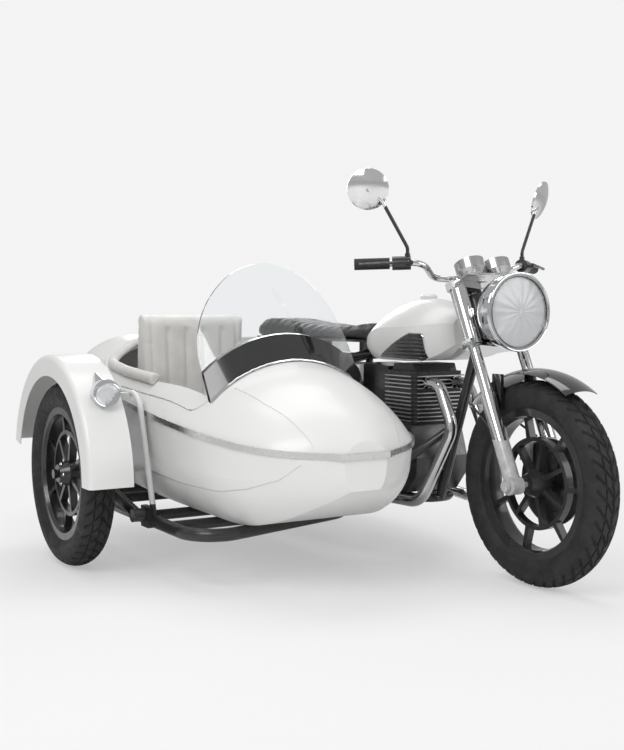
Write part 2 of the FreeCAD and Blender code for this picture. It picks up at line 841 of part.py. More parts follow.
# instruments on a plate over the upper yoke
TILT = FreeCAD.Rotation(V(0, 1, 0), -number(dim.rake))
dash = new_body("dash")
pad(dash, "dash_plate", "XY_Plane", [(12, -96), (60, -96), (60, 96), (12, 96)], 8,
    offset=dim.yoke_thick / 2 + dim.fit_gap)
place(dash, at(leg_x(upper_z + 22), 0, upper_z + 22), TILT)
cups = []
for side, tag in side_names:
    foot = point(number(leg_x(upper_z + 22)), side * (number(dim.gauge_rad) + 5), number(upper_z) + 22)
    g = dim.gauge_rad
    out = V(math.cos(lean), 0, -math.sin(lean))
    cups.append(spun(tag + "_gauge", [(0, 0), (g - 14, 0), (g, 18), (g, 52), (g - 4, 52), (g - 4, 46), (0, 46)],
                     tuple(foot + AXIS_UP * (number(dim.yoke_thick) / 2 + 6) + out * 38), turn(AXIS_UP)))
nodes["instruments"] = fuse("instrument_group", [dash] + cups)


# Mudguards -----------------------------------------------------------------------------
def guard(name, corners, where, first, last):
    """A mudguard: a section revolved about the axle between two angles above the horizontal."""
    body = new_body(name)
    feature = revolve(body, name + "_skin", "XZ_Plane", corners, angle=last - first)
    doc.recompute()
    place(body, where, FreeCAD.Rotation(V(0, 1, 0), -last) * AXLE_TURN)
    return body


thick = dim.mudguard_thick
inner, half = dim.front_guard_rad, dim.front_guard_half
skin = [(inner, half), (inner, -half, inner + 15, 0), (inner + thick, -half),
        (inner + thick, half, inner + 15 + thick, 0)]
front_at = at(dim.wheelbase, 0, dim.front_tyre_rad)
front_skin = guard("front_guard", skin, front_at, dim.front_guard_tip, 140)
guard_parts = [front_skin]
for side, tag in side_names:
    low = dim.front_guard_half - 2 if side > 0 else -(dim.fork_half - dim.fork_slider_rad - dim.fit_gap)
    wide = dim.fork_half - dim.fork_slider_rad - dim.fit_gap - dim.front_guard_half + 2
    guard_parts.append(box(tag + "_guard_plate", 44, wide, 116, at(leg_x(580) - 24, low, 560)))
    guard_parts.append(tube(tag + "_stay", [point(1233, side * 65, 569), point(1330, side * 69, 500),
                                            point(1405, side * 69.5, 470)], 4, 40))
nodes["front_mudguard"] = fuse("front_guard_whole", guard_parts)

inner, half = dim.rear_guard_rad, dim.rear_guard_half
skin = [(inner, half), (inner, -half, inner + 16, 0), (inner + thick, -half),
        (inner + thick, half, inner + 16 + thick, 0)]
rear_parts = [guard("rear_guard", skin, at(0, 0, dim.rear_tyre_rad), 22, 162)]
for x in (-90, 86):
    for low in (-104, 70):
        rear_parts.append(box("guard_tab", 40, 34, 60, at(x, low, dim.rail_height - dim.rail_rad - 60.3)))
nodes["rear_mudguard"] = fuse("rear_guard_whole", rear_parts)

# Frame ---------------------------------------------------------------------------------
spine_route = [point(1160, 0, 862), point(670, 0, 742), point(400, 0, 690)]
spine = tube("spine", spine_route, dim.spine_rad, 200)
head_tube = cylinder("head_tube", dim.head_rad, (dim.head_high - dim.head_low) / rake_cos,
                     at(axis_x(dim.head_low), 0, dim.head_low), (AXIS_UP.x, 0, AXIS_UP.z))
head_bore = cylinder("head_bore", dim.stem_rad + dim.stem_fit, 400,
                     at(axis_x(dim.head_low - 60), 0, dim.head_low - 60), (AXIS_UP.x, 0, AXIS_UP.z))
c_half, c_z, p_x = number(dim.cradle_half), number(dim.cradle_height), number(dim.pivot_x) + 10
c_front, rail_z = number(dim.cradle_front), number(dim.rail_height)
# one bent tube: down behind the engine, forward under it, across, and back up on the other side
half_cradle = [(p_x - 20, rail_z), (p_x, 300), (500, c_z), (c_front, c_z)]
cradle_route = [point(x, c_half, z) for x, z in half_cradle] + [
    point(x, -c_half, z) for x, z in reversed(half_cradle)]
head_r = number(dim.head_rad)
down_top = (number(axis_x(dim.head_low)) - (head_r - 6), number(dim.head_low) + head_r - 1)


def down_x(z):
    """x of the front down tube at a height."""
    return c_front + (down_top[0] - c_front) * (z - c_z) / (down_top[1] - c_z)


down_route = [point(down_top[0], 0, down_top[1]), point(c_front, 0, c_z)]
frame_parts = [
    spine, head_tube,
    tube("cradle", cradle_route, dim.frame_rad, 70),
    tube("down_tube", down_route, dim.down_rad, 20),
    box("front_lug", down_x(335) - number(dim.case_rear + dim.case_length) - 0.3, 52, 34,
        at(dim.case_rear + dim.case_length + dim.fit_gap, -26, 318)),
]
gap = dim.fit_gap
for side, tag in side_names:
    y = side * c_half
    frame_parts += [
        tube(tag + "_seat_rail", [point(590, side * 14, 718), point(440, side * 88, 698),
                                  point(-230, side * 88, 698)], dim.rail_rad, 120),
        tube(tag + "_rear_stay", [point(p_x - 4, side * 88, 400), point(190, side * 88, 690)],
             dim.rail_rad - 3, 40),
        box(tag + "_rear_lug", dim.case_rear - p_x - gap, 26, 30, at(p_x, side * c_half - 13, 336)),
        cylinder(tag + "_shock_pin", 8, 52, at(190, y if side > 0 else y - 52, 672), (0, 1, 0)),
    ]
frame_parts += [
    tube("tail_loop", [point(-215, 88, 697), point(-215, -88, 697)], dim.rail_rad - 3, 20),
    tube("rail_bridge", [point(398, 82, 697), point(398, -82, 697)], dim.rail_rad - 4, 20),
    cylinder("pivot_rod", 9, 186, at(dim.pivot_x, -93, dim.pivot_height), (0, 1, 0)),
]
for side, tag in side_names:
    frame_parts.append(cylinder(tag + "_peg", 11, 134, at(p_x - 4, side * (c_half + 3), 372), (0, side, 0)))
nodes["main_frame"] = cut("frame_cut", fuse("frame_whole", frame_parts), [head_bore])

# swinging arm
px, pz = dim.pivot_x, dim.pivot_height
arm_y, arm_w = dim.arm_half, dim.arm_width
arm_parts = [
    cylinder("pivot_sleeve", 22, 112, at(px, -56, pz), (0, 1, 0)),
    box("pivot_web", 50, 108, 30, at(px - 55, -54, pz - 15)),
    box("arm_beam", 36, arm_y * 2 + arm_w, 40, at(px - 78, -arm_y - arm_w / 2, pz - 20)),
]
for side, tag in side_names:
    low = side * arm_y - arm_w / 2
    arm_parts.append(box(tag + "_arm", px - 20, arm_w, dim.arm_height, at(-38, low, pz - 36)))
    arm_parts.append(box(tag + "_shock_lug", 36, arm_w, 70, at(62, low, pz - 10)))
arm_parts.append(axle("rear_axle", Size(0, "0"), Size(0, "0"), dim.rear_tyre_rad,
                      -arm_y - arm_w / 2 - 2, arm_y + arm_w / 2 + 2))
# shaft housing along the left arm, and the final drive around the axle
shaft_y, drive_r = dim.shaft_side, dim.drive_rad
arm_parts += [
    cylinder("shaft_housing", dim.shaft_rad, dim.case_rear - 34 - gap, at(34, shaft_y, 322), (1, 0, 0)),
    box("shaft_lug", 60, shaft_y - arm_y, 26, at(230, arm_y, 312)),
    spun("final_drive", [(0, 54), (drive_r - 16, 54), (drive_r, 66), (drive_r, shaft_y - 12),
                         (drive_r - 14, shaft_y + dim.shaft_rad), (0, shaft_y + dim.shaft_rad)],
         at(0, 0, dim.rear_tyre_rad), AXLE_TURN),
]
arm_tools = [
    cylinder("pivot_bore", 9.3, 240, at(px, -120, pz), (0, 1, 0)),
]
nodes["swingarm"] = cut("swingarm_cut", fuse("swingarm_whole", arm_parts), arm_tools)

# shock absorbers outside the arms
shock_parts = []
for side, tag in side_names:
    y = side * number(dim.shock_half)
    low, high = point(80, y, 384), point(188, y, 672)
    aim = high - low
    length = aim.Length
    rings = [(0, -14), (12, -14), (12, 30), (dim.shock_rad, 34), (dim.shock_rad, length - 60),
             (26, length - 58), (26, length - 26), (12, length - 20), (12, length + 14), (0, length + 14)]
    unit = spun(tag + "_damper", rings, tuple(low), turn(aim))
    eye = cylinder(tag + "_eye", 8, 30, at(80, y - 30 if side > 0 else y, 378), (0, 1, 0))
    bore = cylinder(tag + "_top_bore", 8.3, 80, at(190, y - 40, 672), (0, 1, 0))
    lugface = box(tag + "_lug_clear", 60, 40, 90,
                  at(50, arm_y + arm_w / 2 - 39.7 if side > 0 else -arm_y - arm_w / 2 - 0.3, pz - 10))
    shock_parts.append(cut(tag + "_shock", fuse(tag + "_shock_whole", [unit, eye]), [bore, lugface]))
nodes["shock_absorbers"] = group("shocks", shock_parts)

# Engine --------------------------------------------------------------------------------
case_x, case_l, low, high = dim.case_rear, dim.case_length, dim.case_low, dim.case_high
case = new_body("case")
pad(case, "case_block", "XZ_Plane",
    [(62, low), (case_l - 60, low), (case_l, low + 70), (case_l, low + 130),
     (case_l - 40, high), (290, high), (250, high - 20), (70, high - 30), (0, high - 110),
     (0, low + 96)], dim.case_half * 2, both=True)
place(case, at(case_x, 0, 0))
output = cylinder("output_housing", dim.shaft_rad + 4, 60, at(case_x, dim.shaft_side, 330), (1, 0, 0))
nodes["crankcase"] = fuse("crankcase_whole", [case, output])
covers = []
for side, tag in side_names:
    flat = turn((0, side, 0))
    for x, z, r, deep in ((170, 350, 104, 30), (390, 345, 92, number(dim.cover_depth))):
        covers.append(spun(f"{tag}_cover_{x}", [(0, 0), (r, 0), (r - 6, deep * 0.7), (r - 22, deep),
                                                (0, deep)],
                           at(case_x + x, side * (dim.case_half + dim.fit_gap), z), flat))
nodes["engine_covers"] = group("covers", [
    fuse("left_covers", covers[:2]), fuse("right_covers", covers[2:])])


def rounded(length, half, reach, r):
    """Corners of a rectangle from x 0 to length, grown by reach, with rounded corners."""
    x0, x1, y = -reach, length + reach, half + reach
    near = r * 0.293
    return [(x1 - r, -y), (x1, r - y, x1 - near, near - y), (x1, y - r), (x1 - r, y, x1 - near, y - near),
            (x0 + r, y), (x0, y - r, x0 + near, y - near), (x0, r - y), (x0 + r, -y, x0 + near, near - y)]


def finned(name, x, length, half, low, high, count):
    """A block with a stack of round-cornered cooling fins."""
    body = new_body(name)
    pad(body, name + "_core", "XY_Plane", rounded(length, half, 0, 18), high - low)
    fin = pad(body, name + "_fin", "XY_Plane", rounded(length, half, dim.fin_reach, 30),
              dim.fin_thick, offset=8)
    stack = body.newObject("PartDesign::LinearPattern", name + "_fins")
    stack.Originals = [fin]
    stack.Direction = (plane(body, "Z_Axis"), [""])
    bind(stack, "Length", dim.fin_pitch * (count - 1))
    stack.Occurrences = count
    body.Tip = stack
    return place(body, at(x, 0, low))


cyl_x = dim.cyl_front - dim.cyl_length
gap = dim.fit_gap
nodes["cylinder_block"] = finned("block", cyl_x, dim.cyl_length, dim.cyl_half, high + gap,
                                 dim.cyl_high, 8)
head = finned("head", cyl_x, dim.cyl_length, dim.cyl_half, dim.cyl_high + gap, dim.head_top - 30, 4)
cam_cover = new_body("cam_cover")
pad(cam_cover, "cam_cover_arch", "XZ_Plane",
    [(18, 0), (dim.cyl_length - 18, 0), (dim.cyl_length - 30, 28), (30, 28)],
    dim.cyl_half * 2 - 30, both=True)
place(cam_cover, at(cyl_x, 0, dim.head_top - 31))
nodes["cylinder_head"] = fuse("head_whole", [head, cam_cover])

# air box behind the cylinders, with an intake stub to each
airbox = new_body("airbox_body")
pad(airbox, "airbox_side", "XZ_Plane",
    [(545, 640), (560, 520), (700, 505), (752, 560), (752, 676), (600, 684)], 140, both=True)
place(airbox, at(0, 0, 0))
intake_x = cyl_x - dim.fin_reach - gap
nodes["airbox"] = fuse("airbox_whole", [airbox] + [
    cylinder(f"{tag}_intake", 25, intake_x - 740, at(740, side * dim.port_half * 0.72, 634), (1, 0, 0))
    for side, tag in side_names])

# exhausts: header, then silencer
port = number(dim.port_half)
for side, tag in side_names:
    face = number(dim.cyl_front) + number(dim.fin_reach) + 0.3
    sy = side * number(dim.silencer_half)
    route = [point(face, side * port, 624), point(1052, side * port, 624),
             point(1136, side * (port + 5), 478), point(1022, side * 118, 210),
             point(760, side * 162, 212), point(620, sy, 276), point(530, sy, 276)]
    header = tube(tag + "_header", route, dim.header_rad, 78)
    r = dim.silencer_rad
    silencer = spun(tag + "_silencer",
                    [(0, 0), (23, 0), (r, 120), (r, 700), (26, 860), (20, 860), (20, 800), (0, 800)],
                    tuple(point(560, sy, 276)), turn((-1, 0, 0)))
    nodes["exhaust_" + tag] = fuse(tag + "_exhaust", [header, silencer])


# Tank, seat and panels -----------------------------------------------------------------
def loft(name, wires, ruled=False):
    """A solid through closed sections, each a wire across the outfit."""
    return shape(name, Part.makeLoft(wires, True, ruled))


def across(x, parts, middle=0.0):
    """A closed wire at a station x. Each part is (y, z), or (y, z, via_y, via_z) for an arc."""
    where = [point(x, middle + p[0], p[1]) for p in parts]
    edges = []
    for i, part in enumerate(parts):
        start, end = where[i - 1], where[i]
        if len(part) == 4:
            edges.append(Part.Arc(start, point(x, middle + part[2], part[3]), end).toShape())
        else:
            edges.append(Part.LineSegment(start, end).toShape())
    return Part.Wire(edges)


# x, half width, underside, shoulder height, top height
TANK_STATIONS = [
    (640, 92, 722, 772, 806),
    (700, 118, 706, 800, 856),
    (820, 142, 702, 820, 908),
    (940, 146, 702, 824, 924),
    (1030, 128, 712, 830, 908),
    (1086, 96, 736, 836, 886),
    (1118, 52, 766, 836, 866),
]


def tank_section(x, w, under, shoulder, top):
    return across(x, [(w * 0.8, under), (w, shoulder, w * 0.98, (under + shoulder) / 2),
                      (-w, shoulder, 0, top), (-w * 0.8, under, -w * 0.98, (under + shoulder) / 2)])


tank_low = number(dim.tank_low)
tank_form = loft("tank_form", [tank_section(x, w, u + tank_low - 702, s, t)
                               for x, w, u, s, t in TANK_STATIONS])
tunnel = tube("tunnel", spine_route, dim.spine_rad + dim.fit_gap, 200)
tunnel_slot = box("tunnel_slot", 700, (dim.spine_rad + dim.fit_gap) * 2, 60,
                  at(560, -dim.spine_rad - dim.fit_gap, 690))
cap = spun("cap", [(0, -30), (dim.cap_rad, -30), (dim.cap_rad, 12), (24, 18), (0, 20)], at(905, 0, 920))
nodes["fuel_tank"] = fuse("tank", [cut("tank_shell", tank_form, [tunnel, tunnel_slot]), cap])

# seat pan on the rails, and the rider's seat on the pan
pan_z = dim.rail_height + dim.rail_rad + gap
pan = new_body("pan")
pad(pan, "pan_plate", "XY_Plane", [(-235, -95), (560, -95), (625, -60), (625, 60), (560, 95), (-235, 95)], 9)
place(pan, at(0, 0, pan_z + 50))
nodes["seat_base"] = pan
SEAT_STATIONS = [(-255, 96, 812, 20), (-180, 122, 838, 26), (60, 132, 830, 26), (250, 136, 812, 26),
                 (430, 116, 806, 24), (560, 92, 818, 20), (628, 70, 828, 16)]
pan_top = number(pan_z) + 59.3
seat_form = loft("seat_form", [
    across(x, [(-w, pan_top), (w, pan_top), (w, top - r), (w - r, top, w - r * 0.3, top - r * 0.3),
               (r - w, top), (-w, top - r, r * 0.3 - w, top - r * 0.3)])
    for x, w, top, r in SEAT_STATIONS])
nodes["rider_seat"] = seat_form
pan_legs = [box("pan_leg", 30, 24, 50.2 - 0.0, at(x, y - 12, pan_z)) for x in (-190, 60, 330)
            for y in (-88, 88)]
nodes["seat_base"] = fuse("seat_base_whole", [pan] + pan_legs)

panels = []
for side, tag in side_names:
    body = new_body(tag + "_panel")
    pad(body, tag + "_panel_plate", "XZ_Plane",
        [(226, 668), (238, 560), (292, 482), (380, 460), (560, 486), (622, 560, 606, 512), (626, 678)], 16)
    place(body, at(0, 97.3 + 16 if side > 0 else -97.3, 0))
    panels.append(body)
panels[1] = cut("right_panel_notched", panels[1], [tube(
    "strut_notch", [point(330, -number(dim.rail_inner), number(dim.chassis_height)),
                    point(p_x - 12, -c_half, 600)], dim.strut_rad + 6, 20)])
nodes["side_covers"] = group("side_panels", panels)

# tail lamp and number plate on the rear mudguard
plate_x = -368
bracket = [box("plate_bracket", 70, 70, 4, at(plate_x - 2, -35, 520)),
           box("plate_back", 4, 190, 110, at(plate_x - 4, -95, 440))]
lamp_body = cylinder("tail_lamp_body", 34, 40, at(-362, 0, 604), (-1, 0, 0))
lamp_arm = box("tail_lamp_arm", 170, 40, 30, at(-370, -20, 590))
rear_rings = cylinder("rear_guard_space", dim.rear_guard_rad + thick + 16.3, 220,
                      at(0, -110, dim.rear_tyre_rad), (0, 1, 0))
nodes["tail_lamp"] = cut("tail_lamp_cut", fuse("tail_lamp_whole", [lamp_body, lamp_arm]), [rear_rings])
nodes["number_plate"] = cut("number_plate_cut", fuse("number_plate_whole", bracket), [
    cylinder(f"plate_hole_{y}_{z}", 3.2, 20, at(plate_x + 6, y, z), (-1, 0, 0))
    for y in (-73, 73) for z in (458, 528)] + [cylinder(
        "plate_guard_space", dim.rear_guard_rad + thick + 16.3, 220,
        at(0, -110, dim.rear_tyre_rad), (0, 1, 0))])

# Sidecar body --------------------------------------------------------------------------
MID = -number(dim.body_side)
TAIL = -number(dim.tail_reach)
# x, belt half width, floor half width, floor height, deck rise above the belt
HULL = [
    (TAIL + 12, 120, 70, 400, 62),
    (-430, 236, 130, 310, 122),
    (-200, 312, 180, 240, 152),
    (120, 352, 205, 217, 170),
    (500, 366, 218, 208, 185),
    (860, 366, 212, 203, 222),
    (1110, 338, 200, 212, 206),
    (1290, 275, 165, 262, 150),
    (1385, 178, 110, 310, 96),
    (1415, 125, 79, 331, 71),
    (1440, 75, 50, 350, 44),
]


def belt_z(x):
    return number(dim.belt_height) - number(dim.belt_slope) * (x - number(dim.belt_datum))


def deck_section(x, w, rise, drop=0.0):
    z = belt_z(x) - drop
    return across(x, [(w, z), (-w, z, 0, z + rise + drop)], MID)


def hull_section(x, w, f, low, top=0.0):
    z = belt_z(x)
    knee = z - (z - low) * 0.42
    wk = w * 0.965
    bilge, bilge_z = (wk + f) / 2 + 0.16 * (wk - f), (knee + low) / 2 - 0.10 * (knee - low)
    return across(x, [(-w, z + top), (-wk, knee), (-f, low, -bilge, bilge_z),
                      (f, low), (wk, knee, bilge, bilge_z), (w, z + top)], MID)


wall, skin_t = number(dim.hull_wall), number(dim.deck_wall)
hull_form = loft("hull_form", [hull_section(x, w, f, low) for x, w, f, low, rise in HULL])
inner_rows = [(x + (wall if i == 0 else -wall if i == len(HULL) - 1 else 0), w, f, low, rise)
              for i, (x, w, f, low, rise) in enumerate(HULL)]
hull_hollow = loft("hull_hollow", [hull_section(x, w - wall, f - wall * 0.6, low + wall, 0.0)
                                   for x, w, f, low, rise in inner_rows])
hull_open = loft("hull_open", [across(x, [(wall - w, belt_z(x) - 2), (w - wall, belt_z(x) - 2),
                                          (w - wall, belt_z(x) + 3), (wall - w, belt_z(x) + 3)], MID)
                               for x, w, f, low, rise in inner_rows])
seat_box = box("sidecar_seat_box", 500, 360, 80, at(140, MID - 180, 220))
mid_y = -dim.body_side
sink = number(dim.crease_depth)
sunk_rows = [(x + (sink if i == 0 else -sink if i == len(HULL) - 1 else 0), w - sink, f - sink * 0.6,
              low + sink, rise - sink) for i, (x, w, f, low, rise) in enumerate(HULL)]


def crease(name, role, lines, length, where, sunk):
    """A pressed line: thin bands through the panel, less all that lies deeper than the crease."""
    half = dim.crease_width / 2
    bands = []
    for i, line in enumerate(lines):
        body = new_body(f"{name}_band_{i}")
        corners = [(x, y - half) for x, y in line] + [(x, y + half) for x, y in reversed(line)]
        pad(body, f"{name}_pad_{i}", role, corners, length, both=True)
        bands.append(place(body, where))
    return cut(name, bands[0] if len(bands) == 1 else fuse(name + "_bands", bands), [sunk])


# x and height of the line along both sides of the tub, rising at the nose
TUB_LINE = [(560, 334), (868, 324), (1101, 326), (1239, 351), (1332, 384), (1378, 430)]
# x and distance from the centre line of the bonnet's shut line
DECK_LINE = [(1040, 231), (1200, 210), (1345, 170), (1392, 152)]
tub_sunk = loft("tub_sunk", [hull_section(x, w, f, low) for x, w, f, low, rise in sunk_rows])
tub_crease = crease("tub_crease", "XZ_Plane", [TUB_LINE], 900, at(0, mid_y, 0), tub_sunk)
nodes["sidecar_tub"] = fuse("tub", [
    cut("tub_shell", hull_form, [hull_hollow, hull_open, tub_crease]), seat_box])

deck_form = loft("deck_form", [deck_section(x, w, rise) for x, w, f, low, rise in HULL])
deck_hollow = loft("deck_hollow", [deck_section(x, w - skin_t, rise - skin_t, 1.0)
                                   for x, w, f, low, rise in inner_rows])
opening = new_body("cockpit_opening")
ch, cr, cf, cs = dim.cockpit_half, dim.cockpit_rear, dim.cockpit_front, dim.cockpit_side_front
pad(opening, "cockpit_prism", "XY_Plane",
    [(cs, -ch), (cs, ch, cf, 0), (cr + 70, ch), (cr, ch - 90, cr + 20, ch - 22),
     (cr, 90 - ch), (cr + 70, -ch, cr + 20, 22 - ch)], 700)
place(opening, at(0, mid_y, 520))
deck_cut = cut("deck_cut", deck_form, [deck_hollow, opening])
floor_cut = loft("belt_gap", [across(x, [(-500, belt_z(x) - 60), (500, belt_z(x) - 60),
                                         (500, belt_z(x) + 0.3), (-500, belt_z(x) + 0.3)], MID)
                              for x in (TAIL - 60, 1500)], True)
deck_sunk = loft("deck_sunk", [deck_section(x, w, rise) for x, w, f, low, rise in sunk_rows])
deck_crease = crease("deck_crease", "XY_Plane", [DECK_LINE, [(x, -y) for x, y in DECK_LINE]],
                     900, at(0, mid_y, 700), deck_sunk)
nodes["sidecar_deck"] = cut("deck", deck_cut, [floor_cut, deck_crease])

# belt moulding: a ring around the joint between tub and deck
proud, band = number(dim.belt_proud), number(dim.belt_band) / 2
def ring_section(x, w, up):
    z = belt_z(x)
    return across(x, [(-w, z - up), (w, z - up), (w, z + up), (-w, z + up)], MID)
belt_rows = [(x - (proud if i == 0 else -proud if i == len(HULL) - 1 else 0), w + proud)
             for i, (x, w, f, low, rise) in enumerate(HULL)]
belt_outer = loft("belt_outer", [ring_section(x, w, band) for x, w in belt_rows])
seat = number(dim.belt_seat)
belt_core = loft("belt_core", [
    ring_section(x + (-seat if i == 0 else seat if i == len(HULL) - 1 else 0), w + seat, band + 5)
    for i, (x, w, f, low, rise) in enumerate(HULL)])
grown_deck = loft("grown_deck", [deck_section(x + (-0.3 if i == 0 else 0.3 if i == len(HULL) - 1 else 0),
                                              w + 0.3, rise + 0.3, 0.0)
                                 for i, (x, w, f, low, rise) in enumerate(HULL)])
grown_hull = loft("grown_hull", [hull_section(x + (-0.3 if i == 0 else 0.3 if i == len(HULL) - 1 else 0),
                                              w + 0.3, f + 0.3, low - 0.3, 0.0)
                                 for i, (x, w, f, low, rise) in enumerate(HULL)])
nodes["belt_moulding"] = cut("belt", belt_outer, [belt_core])


def deck_z(x, y):
    """Height of the deck's skin at a station and a distance from the body's centre plane."""
    for one, two in zip(HULL, HULL[1:]):
        if one[0] <= x <= two[0]:
            break
    t = (x - one[0]) / (two[0] - one[0])
    w, rise = one[1] + (two[1] - one[1]) * t, one[4] + (two[4] - one[4]) * t
    r = (w * w + rise * rise) / (2 * rise)
    return belt_z(x) + rise - r + math.sqrt(r * r - y * y)


# padded coaming around the rear of the cockpit
lip = number(dim.cockpit_half) + 8
roll_side = [(560, -lip), (300, -lip), (96, 12 - lip), (10, -150)]
roll_route = roll_side + [(x, -y) for x, y in reversed(roll_side)]
roll_path = [point(x, MID + y, deck_z(x, y) + number(dim.roll_rad) * 0.6) for x, y in roll_route]
roll = tube("roll", roll_path, dim.roll_rad, 90)
nodes["cockpit_roll"] = cut("roll_cut", roll, [grown_deck])

# seat in the tub
nodes["sidecar_seat_cushion"] = box("sidecar_cushion", 400, 400, 120, at(240, MID - 200, 300.3))
back = new_body("seat_back")
pad(back, "seat_back_outline", "XZ_Plane",
    [(140, 300.3), (239.7, 300.3), (239.7, 425), (262, 640), (246, 846), (222, 872, 242, 864),
     (182, 860, 196, 876), (156, 640)], dim.seat_half * 2, both=True)
nodes["sidecar_seat_back"] = place(back, at(0, MID, 0))

# windscreen: part of a leaning cylinder, cut to its outline and scribed to the deck
tilt = math.radians(number(dim.screen_lean))
SCREEN_UP = (-math.sin(tilt), 0, math.cos(tilt))
r_s, t_s = dim.screen_rad, dim.screen_thick
foot_x, foot_z = dim.screen_foot_x, dim.screen_foot_z
ahead = V(math.cos(tilt), 0, math.sin(tilt))


def screen_shell(name, inner_r, outer_r):
    axis_foot_point = at(foot_x - number(r_s) * ahead.x - 420 * SCREEN_UP[0], mid_y,
                         foot_z - number(r_s) * ahead.z - 420 * SCREEN_UP[2])
    outer_c = cylinder(name + "_outer", outer_r, 1000, axis_foot_point, SCREEN_UP)
    inner_c = cylinder(name + "_inner", inner_r, 1000, axis_foot_point, SCREEN_UP)
    return cut(name, outer_c, [inner_c])


def screen_outline(name, half):
    """Seen from the front: upright sides under a top rounded by three arcs."""
    body = new_body(name)
    low, turn_z = 500, dim.screen_shoulder
    rise = dim.screen_top - turn_z
    brow, brow_z = half * 0.517, turn_z + rise * 0.856
    cheek, cheek_z = half * 0.88, turn_z + rise * 0.475
    pad(body, name + "_prism", "YZ_Plane",
        [(-half, low), (half, low), (half, turn_z), (brow, brow_z, cheek, cheek_z),
         (-brow, brow_z, 0, dim.screen_top), (-half, turn_z, -cheek, cheek_z)], 900)
    return place(body, at(560, mid_y, 0))


pane_outline = screen_outline("pane_outline", dim.screen_half)
pane = common("pane", [screen_shell("pane_shell", r_s - t_s, r_s), pane_outline])
nodes["windscreen"] = cut("pane_cut", pane, [grown_deck])
trim_outline = screen_outline("trim_outline", dim.screen_half + 4)
trim_ring = common("trim_ring", [screen_shell("trim_shell", r_s + gap, r_s + dim.trim_thick), trim_outline])
rise_t = number(dim.trim_rise)
trim_top = loft("trim_top", [across(x, [(-w, belt_z(x) - 40), (w, belt_z(x) - 40), (w, belt_z(x) + rise_t),
                                        (-w, belt_z(x) + rise_t, 0, belt_z(x) + rise_t + rise)], MID)
                             for x, w, f, low, rise in HULL[3:8]])
nodes["screen_trim"] = cut("trim_cut", common("trim_low", [trim_ring, trim_top]), [grown_deck])

# Sidecar chassis -----------------------------------------------------------------------
yo, yi, xf, xr = (number(dim.rail_outer), number(dim.rail_inner), number(dim.rail_front),
                  number(dim.rail_rear))
cz, cr_ = number(dim.chassis_height), dim.chassis_rad
xi = number(dim.rail_front_inner)
loop = [point(xr, -yi, cz), point(xi, -yi, cz), point(xf, -yo, cz), point(xr, -yo, cz)]
chassis_parts = [tube("chassis_loop", loop, cr_, 110, closed=True)]
for x in (250, 640, 860):
    chassis_parts.append(cylinder(f"cross_{x}", cr_ - 3, yo - yi, at(x, -yo, cz), (0, 1, 0)))
mount_top = 225
for x in (250, 860):
    for y in (-150, 150):
        chassis_parts.append(box("body_mount", 50, 50, mount_top - cz, at(x - 25, MID + y - 25, cz)))
hoop_y = -(yo + 16)
chassis_parts.append(tube("guard_hoop", [point(120, -yo, cz), point(215, hoop_y, 600),
                                         point(650, hoop_y, 600), point(742, -yo, cz)], 10, 70))
wx, wy = number(dim.wheel_lead), -number(dim.track_width)
for x in (300, 566):
    chassis_parts.append(box("guard_tab", 36, 96, 24.4, at(x - 15, wy + 68.3, 577.6)))
    chassis_parts.append(box("guard_plate", 30, 6, 122, at(x - 15, wy + 68.3, 596)))
chassis_parts += [
    box("arm_bracket_inner", 60, 20, 70, at(690, hoop_y - 11.7, cz - 20)),
]
side_guard_ring = cylinder("side_guard_space", dim.side_guard_rad + gap, 300,
                           at(dim.wheel_lead, -dim.track_width - 150, dim.side_tyre_rad), (0, 1, 0))
nodes["sidecar_chassis"] = cut("chassis", fuse("chassis_whole", chassis_parts), [grown_hull])

STRUTS = [
    ("low_front", (640, -yi, cz), (640, -c_half, c_z)),
    ("low_rear", (250, -yi, cz), (500, -c_half, c_z)),
    ("high_front", (840, -yi, cz), (down_x(480), -14, 480)),
    ("high_rear", (330, -yi, cz), (p_x - 12, -c_half, 600)),
]
strut_rods = [cut(name, tube(name + "_rod", [point(*low), point(*high)], dim.strut_rad), [
    tube(name + "_rail_space", loop, cr_ + gap, 110, closed=True),
    tube(name + "_down_space", down_route, dim.down_rad + gap, 20),
    tube(name + "_cradle_space", cradle_route, dim.frame_rad + gap, 70)]) for name, low, high in STRUTS]
nodes["sidecar_struts"] = group("struts", strut_rods)

# sidecar wheel suspension: leading pivot, arm, stub axle and damper
stub_in = wy + number(dim.hub_length) / 2 + 6
susp = [
    tube("side_arm", [point(720, hoop_y - 34, 205), point(wx, stub_in + 14, 320)], 19, 40),
    cylinder("side_arm_pivot", 22, 44, at(720, hoop_y - 12, 205), (0, -1, 0)),
    box("axle_block", 60, 30, 90, at(wx - 30, stub_in, 285)),
]
damper = spun("side_damper", [(0, 0), (11, 0), (11, 60), (22, 64), (22, 190), (14, 194), (14, 236), (0, 236)],
              tuple(point(wx - 22, stub_in + 34, 360)), turn((-0.45, 0.02, 0.9)))
stub_axle = axle("side_axle", dim.wheel_lead, -dim.track_width, dim.side_tyre_rad,
                 -dim.hub_length / 2 - 4, dim.hub_length / 2 + 38)
nodes["sidecar_suspension"] = fuse("suspension", susp + [damper, stub_axle])

